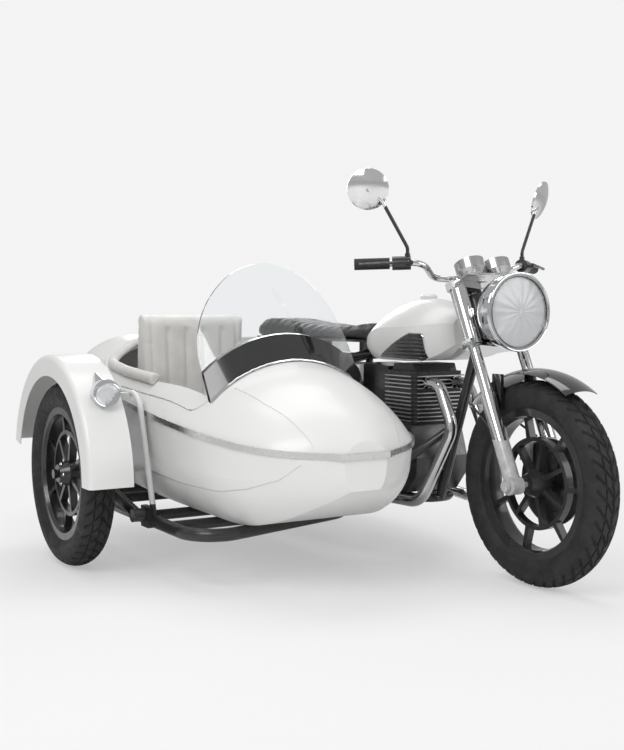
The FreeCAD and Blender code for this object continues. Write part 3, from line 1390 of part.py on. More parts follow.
# sidecar mudguard
r_g, out_y, in_y = dim.side_guard_rad, -dim.side_guard_outer, dim.side_guard_inner
section = [(r_g - thick, in_y), (r_g - thick, out_y + 20), (r_g - 20, out_y + thick, r_g - 9, out_y + 9),
           (r_g - dim.side_guard_skirt, out_y + thick), (r_g - dim.side_guard_skirt, out_y),
           (r_g - 18, out_y), (r_g, out_y + 18, r_g - 5, out_y + 5), (r_g, in_y)]
side_guard = guard("side_guard", section, at(dim.wheel_lead, -dim.track_width, dim.side_tyre_rad), 0, 168)
nodes["sidecar_mudguard"] = side_guard
lamp = fuse("marker_whole", [
    cylinder("marker_body", dim.marker_rad, 38, at(742, 8 - dim.track_width, 616), (1, -0.1, 0.05)),
    cone("marker_tail", dim.marker_rad, 8, 120, at(743, 8 - dim.track_width, 616), (-1, 0.1, 0.5))])
nodes["mudguard_lamp"] = cut("marker", lamp, [side_guard_ring])



# Export --------------------------------------------------------------------------------
def finish():
    doc.recompute()
    failed = [o.Name for o in doc.Objects if "Invalid" in o.State or "Error" in o.State]
    if failed:
        raise RuntimeError(f"these objects did not build: {failed}")
    for node, thing in nodes.items():
        thing.Label = node
        made = thing.Shape
        if made.isNull() or not made.isValid() or not made.Solids:
            raise RuntimeError(f"{node} has no valid solid")
    os.makedirs("parts", exist_ok=True)
    for node, thing in nodes.items():
        thing.Shape.exportStep(f"parts/{node}.step")
    whole = FreeCAD.BoundBox()
    for thing in nodes.values():
        whole.add(thing.Shape.BoundBox)
    print(f"{len(nodes)} nodes, box {whole}")


finish()
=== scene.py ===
"""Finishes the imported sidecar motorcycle: paint, chrome, tread, upholstery, camera and light."""
import bpy
import bmesh
import math
import numpy as np
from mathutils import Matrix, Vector
from mathutils.bvhtree import BVHTree


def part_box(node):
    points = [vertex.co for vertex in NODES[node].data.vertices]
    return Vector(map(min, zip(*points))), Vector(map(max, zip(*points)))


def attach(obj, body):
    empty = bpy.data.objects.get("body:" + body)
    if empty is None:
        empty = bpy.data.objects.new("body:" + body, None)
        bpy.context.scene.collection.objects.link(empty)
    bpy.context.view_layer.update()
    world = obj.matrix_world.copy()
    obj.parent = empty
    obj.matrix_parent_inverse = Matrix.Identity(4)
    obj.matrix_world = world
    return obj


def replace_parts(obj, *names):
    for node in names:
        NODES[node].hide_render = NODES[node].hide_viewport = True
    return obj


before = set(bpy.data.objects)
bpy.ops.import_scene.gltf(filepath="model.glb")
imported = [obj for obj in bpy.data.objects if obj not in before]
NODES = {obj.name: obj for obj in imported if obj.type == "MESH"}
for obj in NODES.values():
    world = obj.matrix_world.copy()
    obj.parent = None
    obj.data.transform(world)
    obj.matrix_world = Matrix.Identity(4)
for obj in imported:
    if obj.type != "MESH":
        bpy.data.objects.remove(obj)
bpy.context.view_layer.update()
scene = bpy.context.scene

# The rear axle on the motorcycle's centre plane, in the row frame.
LOW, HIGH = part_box("rear_tyre")
RIG_X, RIG_Y = (LOW.x + HIGH.x) / 2, (LOW.y + HIGH.y) / 2
LOW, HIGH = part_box("sidecar_tub")
MID_Y = (LOW.y + HIGH.y) / 2


def rig(x, y, z):
    """Millimetres from the rear axle to a point of the row frame in metres."""
    return Vector((RIG_X + x / 1000, RIG_Y + y / 1000, z / 1000))


# Camera --------------------------------------------------------------------------------
camera = bpy.data.objects.new("camera", bpy.data.cameras.new("camera"))
scene.collection.objects.link(camera)
camera.location = rig(4207, -2450, 881)
YAW, PITCH, LENS_MM, SENSOR_MM = 2.606, -0.057, 65.29, 36
view = Vector((math.cos(PITCH) * math.cos(YAW), math.cos(PITCH) * math.sin(YAW), math.sin(PITCH)))
camera.rotation_euler = view.to_track_quat("-Z", "Y").to_euler()
camera.data.sensor_fit = "HORIZONTAL"
camera.data.sensor_width = SENSOR_MM
camera.data.lens = LENS_MM
scene.camera = camera


# Materials -----------------------------------------------------------------------------
class Finish:
    """A procedural material built around one Principled shader."""

    def __init__(self, name, **sockets):
        self.material = bpy.data.materials.new(name)
        self.material.use_nodes = True
        self.tree = self.material.node_tree
        self.shader = self.tree.nodes["Principled BSDF"]
        self.position = self.node("ShaderNodeTexCoord").outputs["Object"]
        for socket, value in sockets.items():
            self.shader.inputs[socket.replace("_", " ")].default_value = value

    def node(self, kind, **settings):
        node = self.tree.nodes.new(kind)
        for key, value in settings.items():
            if hasattr(node, key):
                setattr(node, key, value)
            else:
                node.inputs[key.replace("_", " ")].default_value = value
        return node

    def link(self, a, b):
        self.tree.links.new(a, b)

    def calc(self, operation, *values):
        """A maths node's result; each value is a socket or a number."""
        node = self.node("ShaderNodeMath", operation=operation)
        for socket, value in zip(node.inputs, values):
            if isinstance(value, bpy.types.NodeSocket):
                self.link(value, socket)
            else:
                socket.default_value = value
        return node.outputs[0]

    def axes(self):
        """The three coordinates of the object's own place."""
        split = self.node("ShaderNodeSeparateXYZ")
        self.link(self.position, split.inputs[0])
        return split.outputs

    def spread(self, factor, low, high, start=0.3, end=0.7, **settings):
        """A factor's range from start to end, mapped onto low to high."""
        node = self.node("ShaderNodeMapRange", **settings)
        for key, value in (("From Min", start), ("From Max", end), ("To Min", low), ("To Max", high)):
            node.inputs[key].default_value = value
        self.link(factor, node.inputs["Value"])
        return node.outputs["Result"]

    def noise(self, scale, detail=4, rough=0.55):
        node = self.node("ShaderNodeTexNoise", Scale=scale, Detail=detail, Roughness=rough)
        self.link(self.position, node.inputs["Vector"])
        return node.outputs["Fac"]

    def ramp(self, factor, *stops):
        node = self.node("ShaderNodeValToRGB")
        elements = node.color_ramp.elements
        while len(elements) < len(stops):
            elements.new(0.5)
        for element, (where, colour) in zip(elements, stops):
            element.position = where
            grey = colour if hasattr(colour, "__len__") else (colour, colour, colour)
            element.color = (*grey, 1)
        self.link(factor, node.inputs["Fac"])
        return node.outputs["Color"]

    def colour(self, factor, *stops):
        self.link(self.ramp(factor, *stops), self.shader.inputs["Base Color"])
        return self

    def rough(self, factor, low, high):
        self.link(self.spread(factor, low, high), self.shader.inputs["Roughness"])
        return self

    def bump(self, height, strength, distance):
        node = self.node("ShaderNodeBump", Strength=strength, Distance=distance)
        if self.shader.inputs["Normal"].is_linked:
            self.link(self.shader.inputs["Normal"].links[0].from_socket, node.inputs["Normal"])
        self.link(height, node.inputs["Height"])
        self.link(node.outputs["Normal"], self.shader.inputs["Normal"])
        return self


def voronoi(finish, scale):
    node = finish.node("ShaderNodeTexVoronoi", feature="F1", Scale=scale)
    finish.link(finish.position, node.inputs["Vector"])
    return node.outputs["Distance"]


def wave(finish, scale, direction):
    node = finish.node("ShaderNodeTexWave", bands_direction=direction, Scale=scale, Distortion=0.0)
    finish.link(finish.position, node.inputs["Vector"])
    return node.outputs["Fac"]


def white_paint():
    f = Finish("white_enamel", Coat_Weight=0.35, Coat_Roughness=0.14, IOR=1.5)
    broad = f.noise(2.4, 3)
    f.colour(broad, (0.3, (0.74, 0.74, 0.73)), (0.7, (0.77, 0.77, 0.76)))
    f.rough(f.noise(9, 5), 0.36, 0.40)
    return f.bump(f.noise(420, 2), 0.05, 0.0004).material


def black_paint():
    f = Finish("black_enamel", Coat_Weight=0.5, Coat_Roughness=0.1)
    f.colour(f.noise(14, 5), (0.35, (0.010, 0.010, 0.011)), (0.75, (0.024, 0.024, 0.026)))
    f.rough(f.noise(35, 5), 0.26, 0.42)
    return f.bump(f.noise(500, 2), 0.08, 0.0004).material


def gloss_black():
    f = Finish("polished_black", Coat_Weight=1.0, Coat_Roughness=0.03)
    f.colour(f.noise(8, 3), (0.3, (0.006, 0.006, 0.007)), (0.7, (0.014, 0.014, 0.015)))
    return f.rough(f.noise(12, 4), 0.10, 0.2).material


def chrome():
    f = Finish("bright_chrome", Metallic=1.0)
    f.colour(f.noise(6, 4), (0.3, (0.62, 0.63, 0.65)), (0.7, (0.70, 0.71, 0.72)))
    f.rough(f.noise(18, 6), 0.04, 0.11)
    return f.bump(f.noise(60, 3), 0.015, 0.001).material


def pipe_chrome():
    f = Finish("pipe_chrome", Metallic=1.0)
    f.colour(f.noise(5, 4), (0.3, (0.56, 0.56, 0.57)), (0.7, (0.68, 0.68, 0.69)))
    return f.rough(f.noise(22, 6), 0.07, 0.17).material


def alloy(name, dark, light, rough_low, rough_high, grain):
    f = Finish(name, Metallic=1.0)
    f.colour(f.noise(12, 6), (0.3, (dark,) * 3), (0.72, (light,) * 3))
    f.rough(f.noise(40, 6), rough_low, rough_high)
    f.bump(f.noise(grain, 4), 0.25, 0.0006)
    return f.material


def tyre_rubber():
    tone = 0.022
    f = Finish("tyre_rubber", Specular_IOR_Level=0.35)
    f.colour(f.noise(20, 6), (0.35, (tone * 0.7,) * 3), (0.75, (tone * 1.5,) * 3))
    f.rough(f.noise(60, 6), 0.55, 0.8)
    return f.bump(f.noise(900, 3), 0.25, 0.0004).material


def grip_rubber():
    f = Finish("grip_rubber", Specular_IOR_Level=0.4)
    f.colour(f.noise(30, 5), (0.35, (0.014,) * 3), (0.75, (0.030,) * 3))
    f.rough(f.noise(60, 6), 0.5, 0.72)
    return f.bump(voronoi(f, 420), 0.7, 0.0012).material


def leather(name, dark, light, tint=(1, 0.985, 0.955)):
    f = Finish(name, Specular_IOR_Level=0.4, Coat_Weight=0.08, Coat_Roughness=0.4)
    mottled = f.noise(7, 8, 0.65)
    f.colour(mottled, (0.3, tuple(dark * t for t in tint)), (0.7, tuple(light * t for t in tint)))
    f.rough(f.noise(26, 6), 0.42, 0.62)
    f.bump(voronoi(f, 460), 0.35, 0.0007)
    return f.bump(f.noise(38, 5), 0.12, 0.002).material


def clear(name, tint, rough):
    f = Finish(name, Transmission_Weight=1.0, IOR=1.49)
    f.colour(f.noise(3, 2), (0.3, tint), (0.7, tuple(min(1, t * 1.02) for t in tint)))
    return f.rough(f.noise(10, 5), rough, rough + 0.03).material


FLUTES = 16


def lamp_lens(node):
    """Pressed glass with flutes that fan out from the middle of the lens."""
    low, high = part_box(node)
    f = Finish("fluted_lens_" + node, Transmission_Weight=0.55, IOR=1.5, Coat_Weight=0.6,
               Coat_Roughness=0.03)
    f.colour(f.noise(4, 2), (0.3, (0.84, 0.86, 0.87)), (0.7, (0.92, 0.93, 0.94)))
    f.rough(f.noise(20, 4), 0.10, 0.18)
    place = f.axes()
    offs = [f.calc("SUBTRACT", place[axis], (low[axis] + high[axis]) / 2) for axis in (2, 1)]
    turns = f.calc("MULTIPLY", f.calc("ARCTAN2", *offs), FLUTES)
    return f.bump(f.calc("COSINE", turns), 0.35, 0.002).material


def red_lens():
    f = Finish("red_lens", Transmission_Weight=0.4, Coat_Weight=1.0, Coat_Roughness=0.05)
    f.colour(f.noise(12, 3), (0.3, (0.30, 0.012, 0.012)), (0.7, (0.42, 0.02, 0.02)))
    f.rough(f.noise(20, 4), 0.12, 0.25)
    return f.bump(wave(f, 60, "Z"), 0.5, 0.001).material


def tones(f, where, speckle, dark, bright, worn):
    """The colours of one casting: dark where the mask is 0, and bright where it is 1."""
    mix = f.node("ShaderNodeMix", data_type="RGBA")
    f.link(where, mix.inputs[0])
    f.link(f.ramp(speckle, (0.3, (dark * 0.8,) * 3), (0.7, (dark * 1.3,) * 3)), mix.inputs[6])
    f.link(f.ramp(speckle, (0.3, (bright * worn,) * 3), (0.7, (bright,) * 3)), mix.inputs[7])
    f.link(mix.outputs[2], f.shader.inputs["Base Color"])


def two_tone(name, mask, dark, bright, rough_dark=(0.26, 0.42), rough_bright=(0.06, 0.14), metal=True):
    """Two finishes on one piece, split by a mask built from the object's own place."""
    f = Finish(name, Coat_Weight=0.3, Coat_Roughness=0.1)
    where = mask(f)
    speckle = f.noise(30, 5)
    tones(f, where, speckle, dark, bright, 0.93)
    if metal:
        f.link(where, f.shader.inputs["Metallic"])
    rough = f.node("ShaderNodeMix", data_type="FLOAT")
    f.link(where, rough.inputs[0])
    for socket, span in ((2, rough_dark), (3, rough_bright)):
        f.link(f.spread(speckle, *span), rough.inputs[socket])
    f.link(rough.outputs[0], f.shader.inputs["Roughness"])
    return f.material


def near_points(centres, reach):
    """A mask of what lies within a reach of any of the points."""
    def mask(f):
        found = None
        for centre in centres:
            gap = f.node("ShaderNodeVectorMath", operation="DISTANCE")
            f.link(f.position, gap.inputs[0])
            gap.inputs[1].default_value = centre
            close = f.calc("LESS_THAN", gap.outputs["Value"], reach)
            found = close if found is None else f.calc("MAXIMUM", found, close)
        return found
    return mask


def above(height, soft=0.0005):
    """A mask of what lies above a height."""
    return lambda f: f.spread(f.axes()[2], 0, 1, height - soft, height + soft)


def cast_fins(name, node, inset, dark, bright):
    """Black enamel with the outer edges of the fins left bright."""
    low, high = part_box(node)
    f = Finish(name)
    place = f.axes()
    edges = None
    for axis in range(2):
        middle, reach = (low[axis] + high[axis]) / 2, (high[axis] - low[axis]) / 2
        size = f.calc("ABSOLUTE", f.calc("SUBTRACT", place[axis], middle))
        over = f.calc("GREATER_THAN", size, reach - inset)
        edges = over if edges is None else f.calc("MAXIMUM", edges, over)
    tones(f, edges, f.noise(30, 5), dark, bright, 0.9)
    f.link(edges, f.shader.inputs["Metallic"])
    f.rough(f.noise(40, 6), 0.25, 0.42)
    return f.bump(f.noise(300, 4), 0.2, 0.0005).material


def mirror_heads():
    """The middles of the two mirror heads, from the ends of the pair's box."""
    low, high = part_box("mirrors")
    x, z = (low.x + high.x) / 2 - 0.02, high.z - 0.066
    return [Vector((x, y, z)) for y in (low.y + 0.063, high.y - 0.063)]


WHITE, BLACK, GLOSS, CHROME, PIPE = white_paint(), black_paint(), gloss_black(), chrome(), pipe_chrome()
CAST = alloy("cast_alloy", 0.36, 0.50, 0.28, 0.45, 260)
FORGED = alloy("polished_alloy", 0.50, 0.62, 0.16, 0.30, 340)
FIN_EDGE = 0.0022
FINS = cast_fins("barrel_fins", "cylinder_block", FIN_EDGE, 0.02, 0.62)
HEAD_FINS = cast_fins("head_fins", "cylinder_head", FIN_EDGE, 0.02, 0.62)
RUBBER, GRIP = tyre_rubber(), grip_rubber()
PALE, DARK_HIDE = leather("pale_hide", 0.58, 0.72), leather("dark_hide", 0.022, 0.045, (1, 1, 1))
SCREEN, RED = clear("clear_screen", (0.93, 0.95, 0.96), 0.01), red_lens()
LENS = lamp_lens("headlamp_lens")
MIRROR = two_tone("mirror_backs", near_points(mirror_heads(), 0.086), 0.012, 0.80,
                  rough_bright=(0.10, 0.13))
BELT = alloy("belt_alloy", 0.70, 0.74, 0.26, 0.30, 900)
CASE = alloy("case_alloy", 0.10, 0.17, 0.34, 0.5, 260)
# the hoop's upper part is white, and the fork's sliders duller than its tubes
HOOP_FROM, TUBES_FROM = 0.24, 0.47
CHASSIS = two_tone("chassis_enamel", above(HOOP_FROM), 0.016, 0.76, rough_bright=(0.3, 0.36), metal=False)
TRIPLE = two_tone("fork_metals", above(TUBES_FROM), 0.45, 0.66, (0.14, 0.26), (0.05, 0.12))

PAINTED = {
    "front_wheel": BLACK, "rear_wheel": BLACK, "sidecar_wheel": BLACK, "fork": TRIPLE,
    "handlebar": CHROME, "grips": GRIP, "hand_controls": BLACK, "mirrors": MIRROR, "headlamp": CHROME,
    "headlamp_lens": LENS, "instruments": FORGED, "front_mudguard": GLOSS, "rear_mudguard": CHROME,
    "main_frame": BLACK, "swingarm": BLACK, "shock_absorbers": CHROME, "crankcase": CASE,
    "engine_covers": CAST, "cylinder_block": FINS, "cylinder_head": HEAD_FINS,
    "airbox": BLACK, "exhaust_right": PIPE,
    "exhaust_left": PIPE, "fuel_tank": WHITE, "seat_base": BLACK, "side_covers": WHITE, "tail_lamp": RED,
    "number_plate": WHITE, "sidecar_tub": WHITE, "sidecar_deck": WHITE, "belt_moulding": BELT,
    "windscreen": SCREEN, "screen_trim": GLOSS, "sidecar_chassis": CHASSIS, "sidecar_struts": BLACK,
    "sidecar_suspension": BLACK, "sidecar_mudguard": WHITE, "mudguard_lamp": CHROME,
}


def paint(obj, material):
    obj.data.materials.clear()
    obj.data.materials.append(material)


for name, material in PAINTED.items():
    if name in NODES:
        paint(NODES[name], material)


# Making pieces -------------------------------------------------------------------------
def piece(name, mesh, material, body):
    obj = bpy.data.objects.new(name, mesh)
    scene.collection.objects.link(obj)
    obj.data.materials.clear()
    obj.data.materials.append(material)
    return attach(obj, body)


def smooth(mesh, angle=None):
    mesh.polygons.foreach_set("use_smooth", [True] * len(mesh.polygons))
    if angle is not None:
        mesh.set_sharp_from_angle(angle=math.radians(angle))
    return mesh


def outward(mesh):
    """Turns every face of a closed mesh outwards."""
    work = bmesh.new()
    work.from_mesh(mesh)
    bmesh.ops.recalc_face_normals(work, faces=work.faces)
    work.to_mesh(mesh)
    work.free()
    return mesh


def skin(rings, count, base=0):
    """The faces over a stack of rings of points, with a cap on each end."""
    last = base + (rings - 1) * count
    faces = [(row + j, row + (j + 1) % count, row + count + (j + 1) % count, row + count + j)
             for row in range(base, last, count) for j in range(count)]
    return faces + [tuple(range(base, base + count))[::-1], tuple(range(last, last + count))]


def swept(points, count):
    """Evenly spaced points along an arc through three (radius, across) points."""
    (ax, ay), (bx, by), (cx, cy) = points
    d = 2 * (ax * (by - cy) + bx * (cy - ay) + cx * (ay - by))
    a, b, c = ax * ax + ay * ay, bx * bx + by * by, cx * cx + cy * cy
    ux = (a * (by - cy) + b * (cy - ay) + c * (ay - by)) / d
    uy = (a * (cx - bx) + b * (ax - cx) + c * (bx - ax)) / d
    radius = math.hypot(ax - ux, ay - uy)
    first, mid, last = (math.atan2(y - uy, x - ux) for x, y in points)
    turn = (last - first) % (2 * math.pi)
    if (mid - first) % (2 * math.pi) > turn:
        turn -= 2 * math.pi
    angles = first + turn * np.linspace(0, 1, count)
    return np.stack([ux + radius * np.cos(angles), uy + radius * np.sin(angles)], 1)


AROUND, TREAD_DEPTH, RING_WIDTH = 630, 0.0052, 0.0018
# shares of the tyre's width, and of its wall's height for the widest place
BEAD_SHARE, SHOULDER_SHARE, DROP_SHARE, BELLY_SHARE = 0.34, 0.40, 0.16, 0.45
# each moulded ring's place up the wall, and its height
SIDE_RINGS = ((0.16, 0.0009), (0.30, 0.0006), (0.62, 0.0008))


def tyre(node, body, rim_share, pitches, lean_back):
    """A tyre on the CAD one's outline, with chevron tread blocks and moulded side rings."""
    low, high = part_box(node)
    centre = (low + high) / 2
    outer, width = (high.x - low.x) / 2, high.y - low.y
    seat = outer * rim_share
    belly = seat + (outer - seat) * BELLY_SHARE
    foot, shoulder, drop = width * BEAD_SHARE, width * SHOULDER_SHARE, width * DROP_SHARE
    wall = swept([(seat, -foot), (belly, -width / 2), (outer - drop, -shoulder)], 22)
    crown = swept([(outer - drop, -shoulder), (outer, 0), (outer - drop, shoulder)], 61)[1:-1]
    profile = np.concatenate([wall, crown, (wall * [1, -1])[::-1]])
    slope = np.gradient(profile, axis=0)
    normal = np.stack([slope[:, 1], -slope[:, 0]], 1)
    normal /= np.linalg.norm(normal, axis=1, keepdims=True)
    theta = np.arange(AROUND) * 2 * math.pi / AROUND
    across = profile[:, 1] / shoulder
    on_crown = (profile[:, 0] > outer - drop * 1.25) & (np.abs(across) < 1.06)
    push = np.zeros((len(profile), AROUND))
    side = np.sign(across)[:, None]
    reach = np.abs(across)[:, None]
    phase = pitches * theta[None, :] / (2 * math.pi) + lean_back * reach + 0.25 * (side > 0)
    saw = np.abs((phase % 1) - 0.5)
    groove = np.clip((saw - 0.36) / 0.06, 0, 1)
    centre_line = 0.07 * np.sin(pitches * theta)[None, :]
    spine = np.clip((0.075 - np.abs(across[:, None] - centre_line)) / 0.03, 0, 1)
    band = np.clip((0.045 - np.abs(reach - 0.56)) / 0.02, 0, 1)
    cuts = np.maximum(np.maximum(groove * (reach > 0.06), spine), band * 0.8)
    push -= TREAD_DEPTH * cuts * on_crown[:, None]
    ring = profile[:, 0]
    for share, height in SIDE_RINGS:
        where = seat + (outer - seat) * share
        push -= (height * np.exp(-(((ring - where) / RING_WIDTH) ** 2)) * ~on_crown)[:, None]
    radius = profile[:, 0][:, None] + normal[:, 0][:, None] * push
    y = profile[:, 1][:, None] + normal[:, 1][:, None] * push
    xyz = np.stack([centre.x + radius * np.cos(theta), centre.y + y + 0 * theta,
                    centre.z + radius * np.sin(theta)], 2)
    rows = len(profile)
    index = np.arange(rows * AROUND).reshape(rows, AROUND)
    a, b = index[:-1], index[1:]
    faces = np.stack([a, np.roll(a, -1, 1), np.roll(b, -1, 1), b], 2).reshape(-1, 4)
    last, first = index[-1], index[0]
    inner = np.stack([last, np.roll(last, -1), np.roll(first, -1), first], 1)
    mesh = bpy.data.meshes.new(node + "_tread")
    mesh.from_pydata(xyz.reshape(-1, 3).tolist(), [], np.concatenate([faces, inner]).tolist())
    mesh.validate()
    smooth(mesh, 34)
    outward(mesh)
    made = piece(node + "_tread", mesh, RUBBER, body)
    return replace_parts(made, node)


tyre("front_tyre", "front_wheel_assembly", 241 / 330, 42, -1.3)
tyre("rear_tyre", "rear_wheel_assembly", 222 / 320, 40, 1.3)
tyre("sidecar_tyre", "sidecar_wheel_assembly", 229 / 320, 42, 1.3)


# Upholstery ----------------------------------------------------------------------------
# how far a cover may pass its CAD piece's box, and the cloth's length in frames
COVER_PAST, CLOTH_FRAMES, MOST_TO_SUBDIVIDE = 0.004, 20, 24000


def stuffed(node, name, material, inset, cap, pressure, voxel=0.0075, finish=None,
            flat_foot=True):
    """A padded piece: the CAD solid made smaller, remeshed, and blown up as cloth."""
    low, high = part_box(node)
    middle, size = (low + high) / 2, high - low
    mesh = NODES[node].data.copy()
    obj = bpy.data.objects.new(name, mesh)
    scene.collection.objects.link(obj)
    work = bmesh.new()
    work.from_mesh(mesh)
    bmesh.ops.remove_doubles(work, verts=work.verts, dist=1e-5)
    work.normal_update()
    for vertex in work.verts:
        for axis in range(3):
            share = 1 - 2 * inset / max(size[axis], 4 * inset)
            vertex.co[axis] = middle[axis] + (vertex.co[axis] - middle[axis]) * share
    work.to_mesh(mesh)
    work.free()
    remesh = obj.modifiers.new("remesh", "REMESH")
    remesh.mode = "VOXEL"
    remesh.voxel_size = voxel
    apply(obj)
    start = coordinates(obj.data)
    cloth = obj.modifiers.new("cloth", "CLOTH")
    settings = cloth.settings
    settings.quality = 5
    settings.mass = 0.3
    settings.tension_stiffness = settings.compression_stiffness = 15
    settings.shear_stiffness = 5
    settings.bending_stiffness = 0.5
    settings.use_pressure = True
    settings.uniform_pressure_force = pressure
    settings.effector_weights.gravity = 0
    for number in range(1, CLOTH_FRAMES + 1):
        scene.frame_set(number)
    apply(obj)
    scene.frame_set(1)
    moved = coordinates(obj.data) - start
    length = np.linalg.norm(moved, axis=1, keepdims=True)
    moved *= np.minimum(1, cap / np.maximum(length, 1e-9))
    points = start + moved
    if finish is not None:
        points = finish(points, low, high)
    below = [COVER_PAST, COVER_PAST, 0 if flat_foot else COVER_PAST]
    points = np.clip(points, np.array(low) - below, np.array(high) + COVER_PAST)
    obj.data.vertices.foreach_set("co", points.astype(np.float32).ravel())
    more = obj.modifiers.new("more", "SUBSURF")
    more.levels = more.render_levels = 1 if len(points) < MOST_TO_SUBDIVIDE else 0
    if more.levels:
        apply(obj)
    else:
        obj.modifiers.remove(more)
    smooth(obj.data)
    paint(obj, material)
    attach(obj, "outfit")
    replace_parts(obj, node)
    return obj


def apply(obj):
    """Puts what the modifiers make into the mesh, and takes them off."""
    bpy.context.view_layer.update()
    graph = bpy.context.evaluated_depsgraph_get()
    made = bpy.data.meshes.new_from_object(obj.evaluated_get(graph), depsgraph=graph)
    obj.modifiers.clear()
    obj.data = made


def coordinates(mesh):
    flat = np.zeros(len(mesh.vertices) * 3, np.float32)
    mesh.vertices.foreach_get("co", flat)
    return flat.reshape(-1, 3).astype(float)


def channel(distance, depth, half):
    """How far a sewn channel pulls in, at a distance from its line."""
    return depth * np.exp(-((distance / half) ** 2))


def seat_finish(points, low, high):
    """Sewn cross channels over the rider's part of the seat."""
    top = np.clip((points[:, 2] - low.z) / (high.z - low.z), 0, 1)
    for line in np.arange(low.x + 0.10, high.x - 0.12, 0.058):
        points[:, 2] -= channel(points[:, 0] - line, 0.008, 0.007) * (top > 0.35)
    return points


def back_finish(points, low, high):
    """Upright channels and a border seam on the sidecar's seat back."""
    across = points[:, 1] - MID_Y
    middle = (low.x + high.x) / 2
    inner = np.clip((high.z - 0.055 - points[:, 2]) / 0.02, 0, 1)
    for line in (-0.112, -0.037, 0.037, 0.112):
        points[:, 0] -= channel(across - line, 0.009, 0.009) * inner * (points[:, 0] > middle - 0.03)
    seam = np.abs(np.abs(across) - 0.176)
    points[:, 0] -= channel(seam, 0.008, 0.007) * (points[:, 0] > middle - 0.03)
    return points


def cushion_finish(points, low, high):
    """Sewn cross channels over the top of the cushion."""
    top = points[:, 2] > (low.z + high.z) / 2
    for line in np.arange(low.x + 0.07, high.x - 0.03, 0.075):
        points[:, 2] -= channel(points[:, 0] - line, 0.008, 0.009) * top
    return points


# node, piece, material, inset, furthest that the cloth may move, pressure
stuffed("rider_seat", "rider_seat_cover", DARK_HIDE, 0.008, 0.014, 4, finish=seat_finish)
stuffed("sidecar_seat_back", "seat_back_cover", PALE, 0.006, 0.009, 3, finish=back_finish)
stuffed("sidecar_seat_cushion", "cushion_cover", PALE, 0.010, 0.020, 4, finish=cushion_finish)
stuffed("cockpit_roll", "coaming_cover", PALE, 0.0, 0.004, 1, voxel=0.006, flat_foot=False)


# Trim ----------------------------------------------------------------------------------
def surface(node):
    """The CAD piece's surface, to lay trim on."""
    work = bmesh.new()
    work.from_mesh(NODES[node].data)
    made = BVHTree.FromBMesh(work)
    work.free()
    return made


def closed(name, rings, material, body, angle=35):
    """A solid skin over a ring-by-ring grid of points."""
    mesh = bpy.data.meshes.new(name)
    points = [tuple(p) for ring in rings for p in ring]
    mesh.from_pydata(points, [], skin(len(rings), len(rings[0])))
    return piece(name, smooth(outward(mesh), angle), material, body)


def bead(name, route, radius, material, body, loop=False, sides=10):
    """A thin round moulding along a line of points."""
    route = [Vector(p) for p in route]
    rings = []
    for i, here in enumerate(route):
        ahead = route[(i + 1) % len(route)] if loop or i + 1 < len(route) else here
        behind = route[i - 1] if loop or i else here
        along = (ahead - behind).normalized()
        side = along.cross(Vector((0.05, 0.1, 1))).normalized()
        up = side.cross(along)
        rings.append([here + (side * math.cos(a) + up * math.sin(a)) * radius
                      for a in (2 * math.pi * k / sides for k in range(sides))])
    if loop:
        rings.append(rings[0])
    return closed(name, rings, material, body)


def knee_pad(side, tag):
    """A ribbed rubber pad laid on the tank's flank."""
    tank = surface("fuel_tank")
    columns, rows = 97, 41
    # front edge, then the upper edge that runs down to the rear corner
    foot = [(0.772, 0.712), (1.041, 0.707)]
    brow = [(0.772, 0.716), (0.984, 0.802), (1.038, 0.800), (1.041, 0.790)]
    outer, inner = [], []
    for i in range(columns):
        u = i / (columns - 1)
        x = foot[0][0] + (foot[1][0] - foot[0][0]) * u
        base = foot[0][1] + (foot[1][1] - foot[0][1]) * u
        top = np.interp(x, [p[0] for p in brow], [p[1] for p in brow])
        line, back = [], []
        for j in range(rows):
            v = j / (rows - 1)
            z = base + (top - base) * v
            start = rig(x * 1000, side * 260, z * 1000)
            hit = tank.ray_cast(start, Vector((0, -side, 0)), 0.4)[0]
            if hit is None:
                hit = rig(x * 1000, side * 130, z * 1000)
            rim = min(u, 1 - u, v, 1 - v)
            rib = 0.5 + 0.5 * math.cos((z - 0.7) / 0.0135 * 2 * math.pi)
            lift = 0.0015 + 0.0042 * min(1, rim / 0.05) * rib
            line.append(hit + Vector((0, side * lift, 0)))
            back.append(hit - Vector((0, side * 0.001, 0)))
        outer.append(line)
        inner.append(back)
    rings = [front + back[::-1] for front, back in zip(outer, inner)]
    rim = [outer[i][0] for i in range(0, columns, 4)] + [outer[-1][j] for j in range(0, rows, 4)]
    rim += [outer[i][-1] for i in range(columns - 1, -1, -4)]
    rim += [outer[0][j] for j in range(rows - 1, 0, -8)]
    slim = [p for p, q in zip(rim, rim[1:] + rim[:1]) if (p - q).length > 0.0015]
    bead(f"{tag}_pad_rim", slim, 0.0022, CHROME, "outfit", loop=True, sides=8)
    return closed(f"{tag}_knee_pad", rings, GLOSS, "outfit", 50)


for side, tag in ((1, "left"), (-1, "right")):
    knee_pad(side, tag)


def lowest_line(node, steps, lift):
    """Points along the lower outer edge of a bent band, from one side to the other."""
    points = np.array([tuple(v.co) for v in NODES[node].data.vertices])
    across = points[:, 1] - MID_Y
    edges = np.linspace(across.min() + 0.002, across.max() - 0.002, steps)
    shell = surface(node)
    line = []
    for y in edges:
        for z in np.arange(points[:, 2].min(), points[:, 2].max(), 0.002):
            start = Vector((points[:, 0].max() + 0.3, MID_Y + y, z))
            hit = shell.ray_cast(start, Vector((-1, 0, 0)), 1.5)[0]
            if hit is not None:
                line.append(hit + Vector((lift, 0, 0.004)))
                break
    return line


